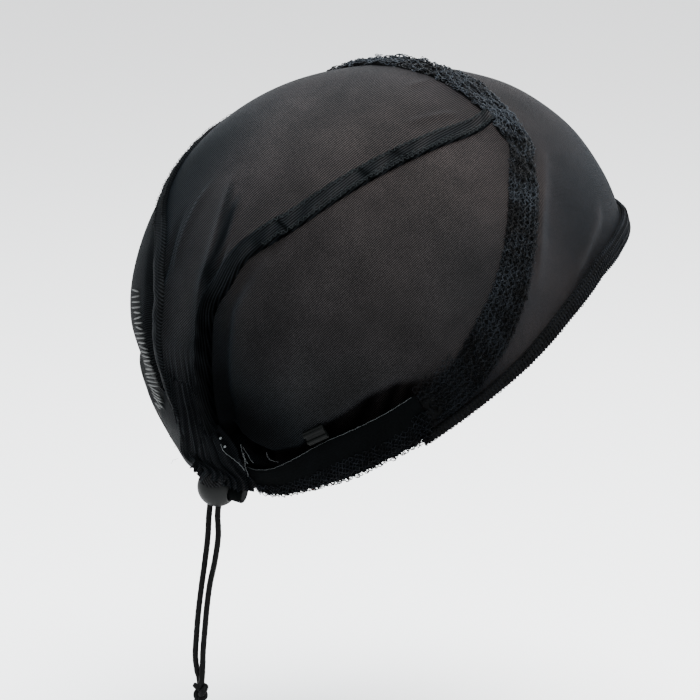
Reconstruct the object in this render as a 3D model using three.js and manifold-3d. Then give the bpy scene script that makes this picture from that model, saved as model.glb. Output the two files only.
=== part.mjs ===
// Wig cap: a sheer mesh dome with a stretch lace band from ear to ear, a knitted hem round the face,
// two flat straps to a gathered nape, and a ball cord lock with two hanging cord ends.
// Millimetres, +Z up, the face towards -Y and the wearer's right towards -X.
// The origin is the highest point of the inside of the crown.
import * as THREE from 'three';
import * as BufferGeometryUtils from 'three/addons/utils/BufferGeometryUtils.js';
import Module from 'manifold-3d';

const wasm = await Module();
wasm.setup();

// Head form: the inside of the cap, measured at its widest level
const halfBreadth = 75;
const frontLength = 92;
const backLength = 91;
const crownHeight = 86;
const sideReach = 150;
const napeReach = 110;
const planRoundnessFront = 2.25;
const planRoundnessBack = 2.15;
const domeRoundnessFront = 2.45;
const domeRoundnessBack = 2.0;
const lowerRoundness = 1.5;
const napeTurn = 1.5;

// Rim heights, measured down from the crown
const foreheadDrop = 55.5;
const napeDrop = 136.5;

// Cloth
const meshWall = 1.0;
const seamGap = 0.6;
const layerGap = 0.35;
const laceThickness = 1.4;
const laceWidth = 18;
const tapeWidth = 7;
const tapeGap = 0.8;
const tapeThickness = 1.0;
const cornerCut = 1.5;
const hemWidth = 6.5;
const hemThickness = 2.6;
const hemRaiseShare = 0.36;
const hemEdgeShare = 0.35;
const rimLaceHeight = 13;
const picotDepth = 0.9;
const strapWidth = 14;
const strapThickness = 1.2;

// Folds beside the back seams
const ridgeHeight = 1.5;
const ridgeInset = 1.0;
const valleyDepth = 3.0;
const foldSpread = 3.2;

// Tuck of the side panels above the straps, where the mesh hangs clear of the head
const tuckDepth = 4.0;

// The nape's left side, drawn up and inwards because the cord lock hangs to the right
const drawUpward = 4.5;
const drawInward = 2.5;
const drawFrom = 0.5;
const drawTo = 0.85;

// Gathered nape
const casingHeight = 6;
const casingThickness = 3.4;
const casingRuffle = 0.7;
const ruffleCount = 11;

// Cord lock: a ball with a spring button, hanging under the casing a little to the wearer's right
const lockRadius = 6.8;
const plungerRadius = 3.2;
const plungerProud = 3.3;
const plungerTravel = 1.5;
const plungerEndWall = 0.8;
const plungerBevel = 0.6;
const slideClearance = 0.25;
const lockAside = 5.0;
const lockOutset = 7.5;
const lockHang = 1.9;
const lockTurn = 25;
const lockTilt = 11;

// Drawcord
const cordDiameter = 2.1;
const strandGap = 0.9;
const cordClearance = 0.3;
const knotRadius = 3.0;
const knotTail = 4;
const knotLean = 20;

// Hook on the strap
const sliderLength = 7.5;
const sliderHeight = 5;
const sliderThickness = 1.8;
const sliderRidge = 0.7;
const sliderShare = 0.5;

const degrees = Math.PI / 180;
const centre = new THREE.Vector3(0, 0, -crownHeight);

// Rows: angle from the face in degrees, drop as a share of the way from forehead to nape
const rimRows = [
  [0, 0], [20, 0.004], [35, 0.02], [50, 0.07], [65, 0.15], [80, 0.29], [95, 0.45],
  [110, 0.595], [125, 0.745], [140, 0.87], [152, 0.94], [165, 0.965], [180, 1],
];

// Paths on the head, rows: across, lengthwise and down, as shares of half breadth, length and nape drop
const crownLaceRows = [
  [0, -0.095, 0.003], [0.29, -0.112, 0.022], [0.46, -0.12, 0.06], [0.575, -0.12, 0.095],
];
const sideLaceRows = [
  [0.575, -0.12, 0.095], [0.75, -0.095, 0.183], [0.92, 0.026, 0.353], [0.975, 0.121, 0.479],
  [0.978, 0.20, 0.564], [0.95, 0.32, 0.674],
];
const tailLaceRows = [[0.95, 0.32, 0.674], [0.92, 0.38, 0.712]];
const backSeamRows = [
  [0.575, -0.12, 0.095], [0.64, 0.03, 0.113], [0.634, 0.218, 0.139], [0.565, 0.53, 0.208],
  [0.415, 0.78, 0.315], [0.268, 0.89, 0.388], [0.212, 0.943, 0.455], [0.16, 0.975, 0.517],
  [0.15, 0.99, 0.643], [0.125, 0.953, 0.756], [0.112, 0.91, 0.832],
];
const napeSeamRows = [[0.112, 0.91, 0.832], [0.106, 0.895, 0.851], [0.10, 0.88, 0.87]];
const panelFootRows = [[0.26, 0.845, 0.885], [0.17, 0.87, 0.866], [0.10, 0.88, 0.87]];
const strapRows = [
  [0.80, 0.57, 0.803], [0.71, 0.66, 0.844], [0.60, 0.725, 0.879],
  [0.48, 0.765, 0.917], [0.36, 0.79, 0.945], [0.265, 0.81, 0.951], [0.195, 0.82, 0.945],
];
const casingRows = [[0.185, 0.83, 0.92], [0.12, 0.85, 0.902], [0, 0.87, 0.89]];

// Tucks, rows: angle from the face, drop of the upper and lower edge as shares of the nape's drop,
// share of the full depth; and the tuck's section, rows: share of the way down, share of the depth
const tuckRows = [
  [118, 0.655, 0.725, 0], [124, 0.661, 0.756, 0.5], [130, 0.665, 0.787, 1], [136.5, 0.693, 0.822, 1],
  [143, 0.746, 0.857, 1], [147.5, 0.777, 0.876, 0.9], [153, 0.838, 0.895, 0.6], [160, 0.857, 0.914, 0.7],
  [165, 0.838, 0.901, 1.1], [170, 0.8, 0.876, 0.8], [174, 0.787, 0.87, 0],
];
const tuckSection = [[0, 0], [0.3, 0.85], [0.5, 1], [0.7, 0.9], [1, 0]];

// Rows: angle from the face in degrees, share of the full draw; drawFrom and drawTo are shares of the
// nape's drop
const drawRows = [[126, 0], [140, 0.6], [148, 1], [158, 1], [170, 0.4], [177, 0]];

// Widths along a path, rows: share of the path, width as a share of the named width
const laceWidthRows = [
  [0, 0.8], [0.18, 0.84], [0.3, 0.64], [0.45, 0.7], [0.62, 0.78], [0.8, 0.9], [1, 0.76],
];
const strapWidthRows = [[0, 1], [0.45, 1], [0.7, 0.85], [1, 0.68]];
const hemWidthRows = [[0, 1], [60, 1], [85, 0.78], [105, 0.55], [123, 0.45]];
const rimLaceRows = [[123, 0.9], [135, 0.92], [150, 0.76], [160, 0.6], [167, 0.45]];
const tapeWidthRows = [[0, 1], [0.55, 1], [0.78, 0.84], [1, 0.65]];
const rimLaceStart = 123.2;
const rimLaceEnd = 167;
const panelFootStart = 124;
const panelFootEnd = 158;
const earGap = 1.9;

// Depth of the folds, rows: drop as a share of the nape's drop, share of the full fold
const foldRows = [[0.346, 0], [0.397, 0.18], [0.485, 0.82], [0.535, 1], [0.756, 1], [0.851, 0.7], [0.945, 0.4]];

// The hanging cord ends, as places from the middle of the cord lock, and the middle of their knot
const cordRoutes = {
  right: [
    [-2.37, -1.11, 5.6], [-1.34, -0.62, -0.3], [-0.21, -0.09, -6.67], [0.1, 0, -10], [-0.1, 0, -17],
    [0.8, 0.9, -26], [1.9, 2.1, -33.5], [2.6, 2.9, -41], [3.1, 3.5, -49], [3.5, 4.1, -57], [3.4, 4.5, -63],
    [3.2, 5.1, -68],
  ],
  left: [
    [0.3, 0.14, 6.2], [1.34, 0.62, 0.3], [2.46, 1.15, -6.1], [2.75, 1.5, -10], [3.0, 2.0, -18],
    [3.7, 2.9, -27], [4.5, 3.9, -36], [5.2, 4.6, -44], [5.7, 5.1, -52], [6.1, 5.3, -59], [6.0, 4.7, -64],
    [5.6, 4.0, -68],
  ],
};
const knotPlace = [4.4, 4.6, -71.7];

// How finely each edge is stepped; edges that meet share their steps
const crownSteps = 6;
const sideSteps = 14;
const tailSteps = 3;
const seamSteps = 14;
const napeSeamSteps = 3;
const panelSteps = 9;
const picotSteps = 34;
const hemSteps = 44;
const strapSteps = 18;
const casingSteps = 20;
const casingSides = 8;
const cordSides = 8;
const cordSteps = 20;
const ruffleSteps = 16;
const ruffleRows = 4;
const seamCrowding = 1.5;

// The loose edge over the cord lock: turns from the back towards the wearer's right, heights as angles
const ruffleFrom = -25;
const ruffleTo = 105;
const ruffleTop = 44;
const ruffleWaves = 7;
const ruffleFootRows = [[-25, 34], [0, 22], [30, 10], [55, 12], [75, 33], [105, 34]];

function fromTable(rows, value, column = 1) {
  if (value <= rows[0][0]) return rows[0][column];
  for (let i = 1; i < rows.length; i++) {
    const [low, high] = [rows[i - 1], rows[i]];
    if (value > high[0]) continue;
    return THREE.MathUtils.lerp(low[column], high[column], (value - low[0]) / (high[0] - low[0]));
  }
  return rows.at(-1)[column];
}

// The plan outline of the head at its widest level, by the angle's sine and cosine
function planRadius(sine, cosine) {
  const length = cosine > 0 ? frontLength : backLength;
  const power = planRoundnessBack + (planRoundnessFront - planRoundnessBack) * (1 + cosine) / 2;
  const sum = (Math.abs(sine) / halfBreadth) ** power + (Math.abs(cosine) / length) ** power;
  return sum ** (-1 / power);
}

function reachAndRoundness(cosine, above) {
  if (above) {
    return [crownHeight, domeRoundnessBack + (domeRoundnessFront - domeRoundnessBack) * (1 + cosine) / 2];
  }
  const toNape = cosine < 0 ? Math.abs(cosine) ** napeTurn : 0;
  return [sideReach + (napeReach - sideReach) * toNape, lowerRoundness];
}

// Radial direction and radius of the plain head form through a point
function onForm(point) {
  const out = point.clone().sub(centre);
  const flat = Math.hypot(out.x, out.y) || 1e-9;
  const cosine = -out.y / flat;
  const radius = planRadius(out.x / flat, cosine);
  const [reach, roundness] = reachAndRoundness(cosine, out.z > 0);
  const across = flat / radius;
  const upward = Math.abs(out.z) / reach;
  const scale = (across ** roundness + upward ** roundness) ** (-1 / roundness);
  return { direction: out.clone().normalize(), radius: out.length() * scale };
}

// The half width of the back panel at a height, where the folds run beside its seams
const seamLine = [...backSeamRows, ...napeSeamRows.slice(1)]
  .slice(4).map(([across, , down]) => [down * napeDrop, across * halfBreadth]);

function foldAt(point) {
  if (point.y < 0) return 0;
  const drop = -point.z;
  const aside = Math.abs(point.x) - fromTable(seamLine, drop);
  const ridge = ridgeHeight * Math.exp(-(((aside + ridgeInset) / foldSpread) ** 2));
  const valley = valleyDepth * Math.exp(-(((aside - 2 * foldSpread) / foldSpread) ** 2));
  return fromTable(foldRows, drop / napeDrop) * (ridge - valley);
}

// How far a panel hangs inwards of the head form in the tuck above the strap
function tuckAt(point) {
  const angle = Math.atan2(Math.abs(point.x), -point.y) / degrees;
  const top = fromTable(tuckRows, angle, 1) * napeDrop;
  const foot = fromTable(tuckRows, angle, 2) * napeDrop;
  const share = THREE.MathUtils.clamp((-point.z - top) / (foot - top), 0, 1);
  return tuckDepth * fromTable(tuckRows, angle, 3) * fromTable(tuckSection, share);
}

// A point of the wearer's left side, moved with the drawn nape
function drawnIn(point) {
  if (point.x <= 0) return point;
  const angle = Math.atan2(point.x, -point.y) / degrees;
  const depth = THREE.MathUtils.smoothstep(-point.z / napeDrop, drawFrom, drawTo);
  const share = fromTable(drawRows, angle) * depth;
  const shrink = 1 - drawInward * share / Math.hypot(point.x, point.y);
  return point.set(point.x * shrink, point.y * shrink, point.z + drawUpward * share);
}

// A point on the cloth, lifted off the head by the layers under it
function onCap(point, lift = 0) {
  const { direction, radius } = onForm(point);
  const bare = centre.clone().addScaledVector(direction, radius);
  return drawnIn(bare.clone().addScaledVector(direction, foldAt(bare) + lift));
}

function fromShares([across, along, down], side) {
  const length = along < 0 ? frontLength : backLength;
  return new THREE.Vector3(side * across * halfBreadth, along * length, -down * napeDrop);
}

// A point on the plain head form at an angle from the face and a depth below the crown
function levelPoint(angle, drop) {
  const sine = Math.sin(angle * degrees);
  const cosine = Math.cos(angle * degrees);
  const [reach, roundness] = reachAndRoundness(cosine, drop < crownHeight);
  const upward = Math.abs(drop - crownHeight) / reach;
  const flat = planRadius(sine, cosine) * (1 - upward ** roundness) ** (1 / roundness);
  return new THREE.Vector3(sine * flat, -cosine * flat, -drop);
}

function rimPoint(angle, raised = 0) {
  const share = fromTable(rimRows, Math.abs(angle));
  return levelPoint(angle, foreheadDrop + (napeDrop - foreheadDrop) * share - raised);
}

// Evenly stepped points on a smooth curve, less a length cut from its start and its end
function smoothPath(points, steps, cutStart = 0, cutEnd = 0, spread = (share) => share) {
  const curve = new THREE.CatmullRomCurve3(points, false, 'centripetal');
  const length = curve.getLength();
  const path = [];
  for (let i = 0; i <= steps; i++) {
    const distance = THREE.MathUtils.lerp(cutStart, length - cutEnd, spread(i / steps));
    path.push(curve.getPointAt(distance / length));
  }
  return path;
}

const pathOf = (rows, side, ...options) => smoothPath(rows.map((row) => fromShares(row, side)), ...options);

// A path moved sideways on the cloth, positive to the right hand of its direction seen from outside
function moved(path, distance) {
  return path.map((point, i) => {
    const before = path[Math.max(i - 1, 0)];
    const after = path[Math.min(i + 1, path.length - 1)];
    const sideways = after.clone().sub(before).cross(onForm(point).direction).normalize();
    return point.clone().addScaledVector(sideways, distance);
  });
}

// A closed wall between an inner and an outer grid of points, rows by columns
function wallBetween(inner, outer) {
  const rows = inner.length;
  const columns = inner[0].length;
  const positions = [outer, inner].flat(2).flatMap((p) => [p.x, p.y, p.z]);
  const at = (layer, row, column) => layer * rows * columns + row * columns + column;
  const faces = [];
  const quad = (a, b, c, d) => faces.push(a, b, c, a, c, d);
  for (let i = 0; i < rows - 1; i++) {
    for (let j = 0; j < columns - 1; j++) {
      quad(at(0, i, j), at(0, i + 1, j), at(0, i + 1, j + 1), at(0, i, j + 1));
      quad(at(1, i, j), at(1, i, j + 1), at(1, i + 1, j + 1), at(1, i + 1, j));
    }
  }
  const last = columns - 1;
  for (let i = 0; i < rows - 1; i++) {
    quad(at(0, i, 0), at(1, i, 0), at(1, i + 1, 0), at(0, i + 1, 0));
    quad(at(0, i, last), at(0, i + 1, last), at(1, i + 1, last), at(1, i, last));
  }
  for (let j = 0; j < columns - 1; j++) {
    quad(at(0, 0, j), at(0, 0, j + 1), at(1, 0, j + 1), at(1, 0, j));
    quad(at(0, rows - 1, j), at(1, rows - 1, j), at(1, rows - 1, j + 1), at(0, rows - 1, j + 1));
  }
  return outward(closedGeometry(positions, faces));
}

function closedGeometry(positions, faces) {
  const geometry = new THREE.BufferGeometry();
  geometry.setAttribute('position', new THREE.Float32BufferAttribute(positions, 3));
  geometry.setIndex(faces);
  return geometry;
}

// Turns a closed surface's faces outwards where its rows ran the other way
function outward(geometry) {
  const at = geometry.attributes.position;
  const index = geometry.index.array;
  const a = new THREE.Vector3();
  const b = new THREE.Vector3();
  const c = new THREE.Vector3();
  let volume = 0;
  for (let i = 0; i < index.length; i += 3) {
    a.fromBufferAttribute(at, index[i]);
    b.fromBufferAttribute(at, index[i + 1]);
    c.fromBufferAttribute(at, index[i + 2]);
    volume += a.dot(b.cross(c));
  }
  if (volume > 0) return geometry;
  for (let i = 0; i < index.length; i += 3) {
    [index[i], index[i + 1]] = [index[i + 1], index[i]];
  }
  return geometry;
}

// A panel between four edges: start and end run along u, left and right along v
function panelBetween(start, end, left, right, spread = (share) => share) {
  const rows = left.length;
  const columns = start.length;
  const inner = [];
  const outer = [];
  for (let i = 0; i < rows; i++) {
    const v = i / (rows - 1);
    inner.push([]);
    outer.push([]);
    for (let j = 0; j < columns; j++) {
      const u = spread(j / (columns - 1));
      const across = left[i].clone().lerp(right[i], u);
      const along = start[j].clone().lerp(end[j], v);
      const startCorners = start[0].clone().lerp(start.at(-1), u);
      const endCorners = end[0].clone().lerp(end.at(-1), u);
      const corners = startCorners.lerp(endCorners, v);
      const point = across.add(along).sub(corners);
      const { direction, radius } = onForm(point);
      const tuck = tuckAt(centre.clone().addScaledVector(direction, radius));
      inner[i].push(onCap(point, -tuck));
      outer[i].push(onCap(point, meshWall - tuck));
    }
  }
  return wallBetween(inner, outer);
}

// A tube through rings of points, closed by a fan at each end
function tubeThrough(rings) {
  const count = rings[0].length;
  const positions = rings.flat().flatMap((p) => [p.x, p.y, p.z]);
  const faces = [];
  for (let i = 0; i < rings.length - 1; i++) {
    for (let j = 0; j < count; j++) {
      const [a, b] = [i * count + j, i * count + (j + 1) % count];
      faces.push(a, b, b + count, a, b + count, a + count);
    }
  }
  for (const [ring, first] of [[rings[0], 0], [rings.at(-1), (rings.length - 1) * count]]) {
    const middle = ring.reduce((sum, p) => sum.add(p), new THREE.Vector3()).divideScalar(count);
    const tip = positions.push(middle.x, middle.y, middle.z) / 3 - 1;
    for (let j = 0; j < count; j++) {
      const [a, b] = [first + j, first + (j + 1) % count];
      faces.push(...(first ? [tip, a, b] : [tip, b, a]));
    }
  }
  return outward(closedGeometry(positions, faces));
}

// A closed geometry as a solid for cutting and joining, and back
function solidOf(geometry) {
  const bare = geometry.clone();
  bare.deleteAttribute('normal');
  bare.deleteAttribute('uv');
  const merged = BufferGeometryUtils.mergeVertices(bare, 1e-4);
  return new wasm.Manifold(new wasm.Mesh({
    numProp: 3,
    vertProperties: new Float32Array(merged.attributes.position.array),
    triVerts: new Uint32Array(merged.index.array),
  }));
}

function geometryOf(solid) {
  const { vertProperties, triVerts } = solid.getMesh();
  return closedGeometry(Array.from(vertProperties), Array.from(triVerts));
}

// A strip laid on the cloth along a path, with its width by the share of the path and, where it is
// rounded, its thickness by the share of the width
function stripAlong(path, widthAt, lift, thickness, across = 3, roundedAt = () => 1) {
  const inner = [];
  const outer = [];
  path.forEach((point, i) => {
    const half = widthAt(i / (path.length - 1)) / 2;
    const left = moved(path, -half)[i];
    const right = moved(path, half)[i];
    inner.push([]);
    outer.push([]);
    for (let j = 0; j <= across; j++) {
      const place = left.clone().lerp(right, j / across);
      inner[i].push(onCap(place, lift));
      outer[i].push(onCap(place, lift + thickness * roundedAt(j / across)));
    }
  });
  return wallBetween(inner, outer);
}

// The hook: a small plate with two rounded ridges along it, its length along X and its face to Z
function sliderGeometry() {
  const side = new THREE.Shape();
  const half = sliderHeight / 2;
  side.moveTo(-half, -sliderThickness / 2);
  side.lineTo(half, -sliderThickness / 2);
  side.lineTo(half, sliderThickness / 2 - sliderRidge);
  side.absarc(half / 2, sliderThickness / 2 - sliderRidge, sliderRidge, 0, Math.PI, false);
  side.absarc(-half / 2, sliderThickness / 2 - sliderRidge, sliderRidge, 0, Math.PI, false);
  side.lineTo(-half, sliderThickness / 2 - sliderRidge);
  const options = { depth: sliderLength, bevelEnabled: false, curveSegments: 6 };
  const plate = new THREE.ExtrudeGeometry(side, options);
  return plate.translate(0, 0, -sliderLength / 2).rotateY(Math.PI / 2).rotateX(Math.PI / 2);
}

const cap = new THREE.Group();
const cloth = {
  mesh: { color: 0x2d2825, roughness: 0.85, metalness: 0 },
  lace: { color: 0x14181e, roughness: 0.95, metalness: 0 },
  elastic: { color: 0x0f1216, roughness: 0.6, metalness: 0 },
  cord: { color: 0x141414, roughness: 0.8, metalness: 0 },
  plastic: { color: 0x14171a, roughness: 0.4, metalness: 0 },
};

function addPiece(name, geometry, finish, group = cap) {
  const piece = new THREE.Mesh(geometry, new THREE.MeshStandardMaterial(finish));
  piece.name = name;
  group.add(piece);
  return piece;
}

const sides = [['right', -1], ['left', 1]];
const layerLift = meshWall + layerGap;
const stepsOf = (count, pointAt) => Array.from({ length: count + 1 }, (_, i) => pointAt(i / count));
const edge = (from, to, steps, spread = (share) => share) => stepsOf(
  steps, (share) => from.clone().lerp(to, spread(share)));
const joined = (...paths) => paths.flatMap((path, i) => (i ? path.slice(1) : path));

// The lace's centreline from the wearer's right ear over the crown to the left ear, where it ends
// above the hem
const hemWidthAt = (angle) => hemWidth * fromTable(hemWidthRows, Math.abs(angle));
const hemTop = (0.5 + hemRaiseShare) * hemWidthAt(rimLaceStart);
const laceEndRaise = laceWidth * laceWidthRows.at(-1)[1] / 2 + hemTop + earGap;
const laceEnd = (side) => rimPoint(side * rimLaceStart, laceEndRaise);
const laceTail = (side) => smoothPath(
  [...tailLaceRows.map((row) => fromShares(row, side)), laceEnd(side)], tailSteps);
const halfLace = (side) => joined(pathOf(crownLaceRows, side, crownSteps),
  pathOf(sideLaceRows, side, sideSteps), laceTail(side));
const laceLine = joined(halfLace(-1).reverse(), halfLace(1));

// Front panel, from the lace to the rim
const laceFront = moved(laceLine, seamGap / 2);
const hemAngle = (share) => THREE.MathUtils.lerp(-rimLaceStart, rimLaceStart, share);
const frontRim = stepsOf(laceLine.length - 1, (share) => rimPoint(hemAngle(share)));
addPiece('front_panel', panelBetween(laceFront, frontRim, edge(laceFront[0], frontRim[0], panelSteps),
  edge(laceFront.at(-1), frontRim.at(-1), panelSteps)), cloth.mesh);

// Back panel, a tongue from the crown lace to the nape between the two back seams
const seamLineOf = (side, distance) => moved(joined(pathOf(backSeamRows, side, seamSteps),
  pathOf(napeSeamRows, side, napeSeamSteps)), -side * distance);
const crownLace = moved(joined(pathOf(crownLaceRows, -1, crownSteps).reverse(),
  pathOf(crownLaceRows, 1, crownSteps)), -seamGap / 2);
const [backRight, backLeft] = sides.map(([, side]) => seamLineOf(side, seamGap / 2));
backRight[0] = crownLace[0];
backLeft[0] = crownLace.at(-1);
addPiece('back_panel', panelBetween(crownLace, edge(backRight.at(-1), backLeft.at(-1), 2 * crownSteps),
  backRight, backLeft), cloth.mesh);

// Side panels, between the lace, the back seam and the lace along the lower rim
const rimLaceTop = (angle, side, raised = 0) => rimPoint(
  side * angle, rimLaceHeight * fromTable(rimLaceRows, angle) + raised);
const towardsSeam = (share) => 1 - (1 - share) ** seamCrowding;
for (const [label, side] of sides) {
  const front = moved(joined(pathOf(sideLaceRows, side, sideSteps, cornerCut), laceTail(side)),
    -side * seamGap / 2);
  const rear = moved(joined(pathOf(backSeamRows, side, seamSteps, cornerCut),
    pathOf(napeSeamRows, side, napeSeamSteps)), side * seamGap / 2);
  const foot = stepsOf(panelSteps, (share) => rimLaceTop(
    THREE.MathUtils.lerp(panelFootStart, panelFootEnd, share), side, seamGap));
  const lower = smoothPath([...foot, ...panelFootRows.map((row) => fromShares(row, side))],
    panelSteps + 1, 0, seamGap / 2, towardsSeam);
  front[front.length - 1] = lower[0];
  lower[lower.length - 1] = rear.at(-1);
  const upper = edge(front[0], rear[0], panelSteps + 1, towardsSeam);
  addPiece(`side_panel_${label}`, panelBetween(upper, lower, front, rear, towardsSeam), cloth.mesh);
}

// Lace band over the crown, narrowed where it turns down at the corners
const laceWidthAt = (share) => laceWidth * fromTable(laceWidthRows, Math.abs(2 * share - 1));
addPiece('lace_band', stripAlong(laceLine, laceWidthAt, layerLift, laceThickness), cloth.lace);

// Knitted hem round the face
const hemLine = stepsOf(hemSteps, (share) => rimPoint(
  hemAngle(share), hemRaiseShare * hemWidthAt(hemAngle(share))));
const roundBack = (share) => THREE.MathUtils.lerp(hemEdgeShare, 1, Math.sqrt(1 - (2 * share - 1) ** 2));
addPiece('front_hem', stripAlong(
  hemLine, (share) => hemWidthAt(hemAngle(share)), layerLift, hemThickness, 4, roundBack), cloth.lace);

for (const [label, side] of sides) {
  // Seam tape, from the edge of the lace to the casing
  const tapeRows = [...backSeamRows, ...napeSeamRows.slice(1)];
  const tapeLine = pathOf(tapeRows, side, 2 * seamSteps, laceWidth / 2, 2 * tapeGap);
  const tapeWidthAt = (share) => tapeWidth * fromTable(tapeWidthRows, share);
  const tape = stripAlong(tapeLine, tapeWidthAt, meshWall + tapeGap, tapeThickness, 4);
  addPiece(`back_seam_${label}`, tape, cloth.lace);

  // Lace along the lower rim, with a picot edge
  const rimEdge = [];
  const rimTop = [];
  const startAngle = rimLaceStart + seamGap / halfBreadth / degrees;
  for (let i = 0; i <= picotSteps; i++) {
    const angle = THREE.MathUtils.lerp(startAngle, rimLaceEnd, i / picotSteps);
    rimEdge.push(rimPoint(side * angle, i % 2 ? -picotDepth : 0));
    rimTop.push(rimLaceTop(angle, side));
  }
  const ends = [0, -1].map((end) => edge(rimTop.at(end), rimEdge.at(end), 3));
  addPiece(`rim_lace_${label}`, panelBetween(rimTop, rimEdge, ...ends), cloth.lace);

  // Strap from the ear to the nape
  const strapLine = smoothPath(
    [laceEnd(side), ...strapRows.map((row) => fromShares(row, side))], strapSteps, seamGap);
  const strapWidthAt = (share) => strapWidth * fromTable(strapWidthRows, share);
  const strap = stripAlong(strapLine, strapWidthAt, layerLift, strapThickness, 4);
  addPiece(`strap_${label}`, strap, cloth.elastic);

  // Hook standing on the strap's upper edge
  const station = Math.round(sliderShare * strapSteps);
  const raised = strapWidthAt(sliderShare) / 2 + layerGap + sliderHeight / 2;
  const place = onCap(moved(strapLine, -side * raised)[station], layerLift + strapThickness / 2);
  const along = strapLine[station + 1].clone().sub(strapLine[station - 1]).normalize();
  const out = onForm(place).direction;
  const up = out.clone().cross(along).normalize();
  const basis = new THREE.Matrix4().makeBasis(along, up, along.clone().cross(up)).setPosition(place);
  addPiece(`slider_${label}`, sliderGeometry(), cloth.plastic).applyMatrix4(basis);
}

// Gathered channel for the drawcord, a ruffled tube across the nape
const casingHalf = (side) => pathOf(casingRows, side, casingSteps);
const casingLine = joined(casingHalf(-1), casingHalf(1).reverse());
const casingRings = casingLine.map((point, i) => {
  const after = casingLine[Math.min(i + 1, casingLine.length - 1)];
  const before = casingLine[Math.max(i - 1, 0)];
  const out = onForm(point).direction;
  const up = out.clone().cross(after.clone().sub(before)).normalize();
  const wave = casingRuffle * Math.sin(2 * Math.PI * ruffleCount * i / (casingLine.length - 1));
  const middle = onCap(point, casingThickness / 2);
  return Array.from({ length: casingSides }, (_, j) => {
    const turn = 2 * Math.PI * j / casingSides;
    const outward = (casingThickness / 2) * Math.cos(turn) + Math.max(wave, 0);
    const upward = (casingHeight / 2 + wave / 2) * Math.sin(turn);
    return middle.clone().addScaledVector(out, outward).addScaledVector(up, upward);
  });
});
addPiece('nape_casing', tubeThrough(casingRings), cloth.mesh);

// Cord lock: its own X runs along the button, inwards; the cord ends pass through it along Z
const lock = new THREE.Group();
const casingDrop = casingRows.at(-1)[2] * napeDrop;
const lockDrop = casingDrop + casingHeight / 2 + casingRuffle / 2 + lockHang + lockRadius;
lock.position.copy(levelPoint(180, lockDrop)).add(new THREE.Vector3(-lockAside, lockOutset, 0));
lock.rotation.set(0, -lockTilt * degrees, lockTurn * degrees, 'ZYX');
cap.add(lock);

const holeWidth = cordDiameter + 2 * cordClearance;
const holeLength = cordDiameter + strandGap + holeWidth;
const cutterReach = 2 * lockRadius;
const slotThrough = (length, from) => {
  const half = length / 2 - holeWidth / 2;
  const outline = new THREE.Shape();
  outline.absarc(half, 0, holeWidth / 2, -Math.PI / 2, Math.PI / 2, false);
  outline.absarc(-half, 0, holeWidth / 2, Math.PI / 2, 3 * Math.PI / 2, false);
  const options = { depth: 2 * cutterReach, bevelEnabled: false, curveSegments: 6 };
  const cut = new THREE.ExtrudeGeometry(outline, options);
  return cut.translate(from + length / 2, 0, -cutterReach);
};
const slotEnd = holeLength / 2;
const plungerInner = slotEnd + plungerEndWall;
const plungerOuter = -(lockRadius + plungerProud);
const boreEnd = plungerInner + plungerTravel + slideClearance;
const boreRadius = plungerRadius + slideClearance;

const bore = new THREE.CylinderGeometry(boreRadius, boreRadius, boreEnd + cutterReach, 24)
  .rotateZ(Math.PI / 2).translate((boreEnd - cutterReach) / 2, 0, 0);
const ball = solidOf(new THREE.SphereGeometry(lockRadius, 22, 14).rotateZ(Math.PI / 2));
const ballSlot = solidOf(slotThrough(holeLength, -slotEnd));
const lockBody = ball.subtract(solidOf(bore)).subtract(ballSlot);
addPiece('cord_lock_body', geometryOf(lockBody), cloth.plastic, lock);

const buttonProfile = [
  [0, plungerOuter],
  [plungerRadius - plungerBevel, plungerOuter],
  [plungerRadius, plungerOuter + plungerBevel],
  [plungerRadius, plungerInner],
  [0, plungerInner],
].map(([radius, along]) => new THREE.Vector2(radius, along));
const button = solidOf(new THREE.LatheGeometry(buttonProfile, 24).rotateZ(-Math.PI / 2));
const buttonSlot = slotThrough(holeLength + plungerTravel, slotEnd - holeLength - plungerTravel);
addPiece('cord_lock_plunger', geometryOf(button.subtract(solidOf(buttonSlot))), cloth.plastic, lock);

// Loose gathered edge of the back panel, draped over the upper part of the cord lock
const ruffleInner = [];
const ruffleOuter = [];
for (let i = 0; i <= ruffleSteps; i++) {
  const turn = THREE.MathUtils.lerp(ruffleFrom, ruffleTo, i / ruffleSteps) * degrees;
  const foot = fromTable(ruffleFootRows, turn / degrees);
  const wave = casingRuffle * (1 + Math.sin(ruffleWaves * turn));
  ruffleInner.push([]);
  ruffleOuter.push([]);
  for (let j = 0; j <= ruffleRows; j++) {
    const rise = THREE.MathUtils.lerp(ruffleTop, foot, j / ruffleRows) * degrees;
    const out = new THREE.Vector3(-Math.sin(turn), Math.cos(turn), Math.tan(rise)).normalize();
    const radius = lockRadius + layerGap + wave * j / ruffleRows;
    ruffleInner[i].push(lock.position.clone().addScaledVector(out, radius));
    ruffleOuter[i].push(lock.position.clone().addScaledVector(out, radius + meshWall));
  }
}
addPiece('nape_ruffle', wallBetween(ruffleInner, ruffleOuter), cloth.mesh);

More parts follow.
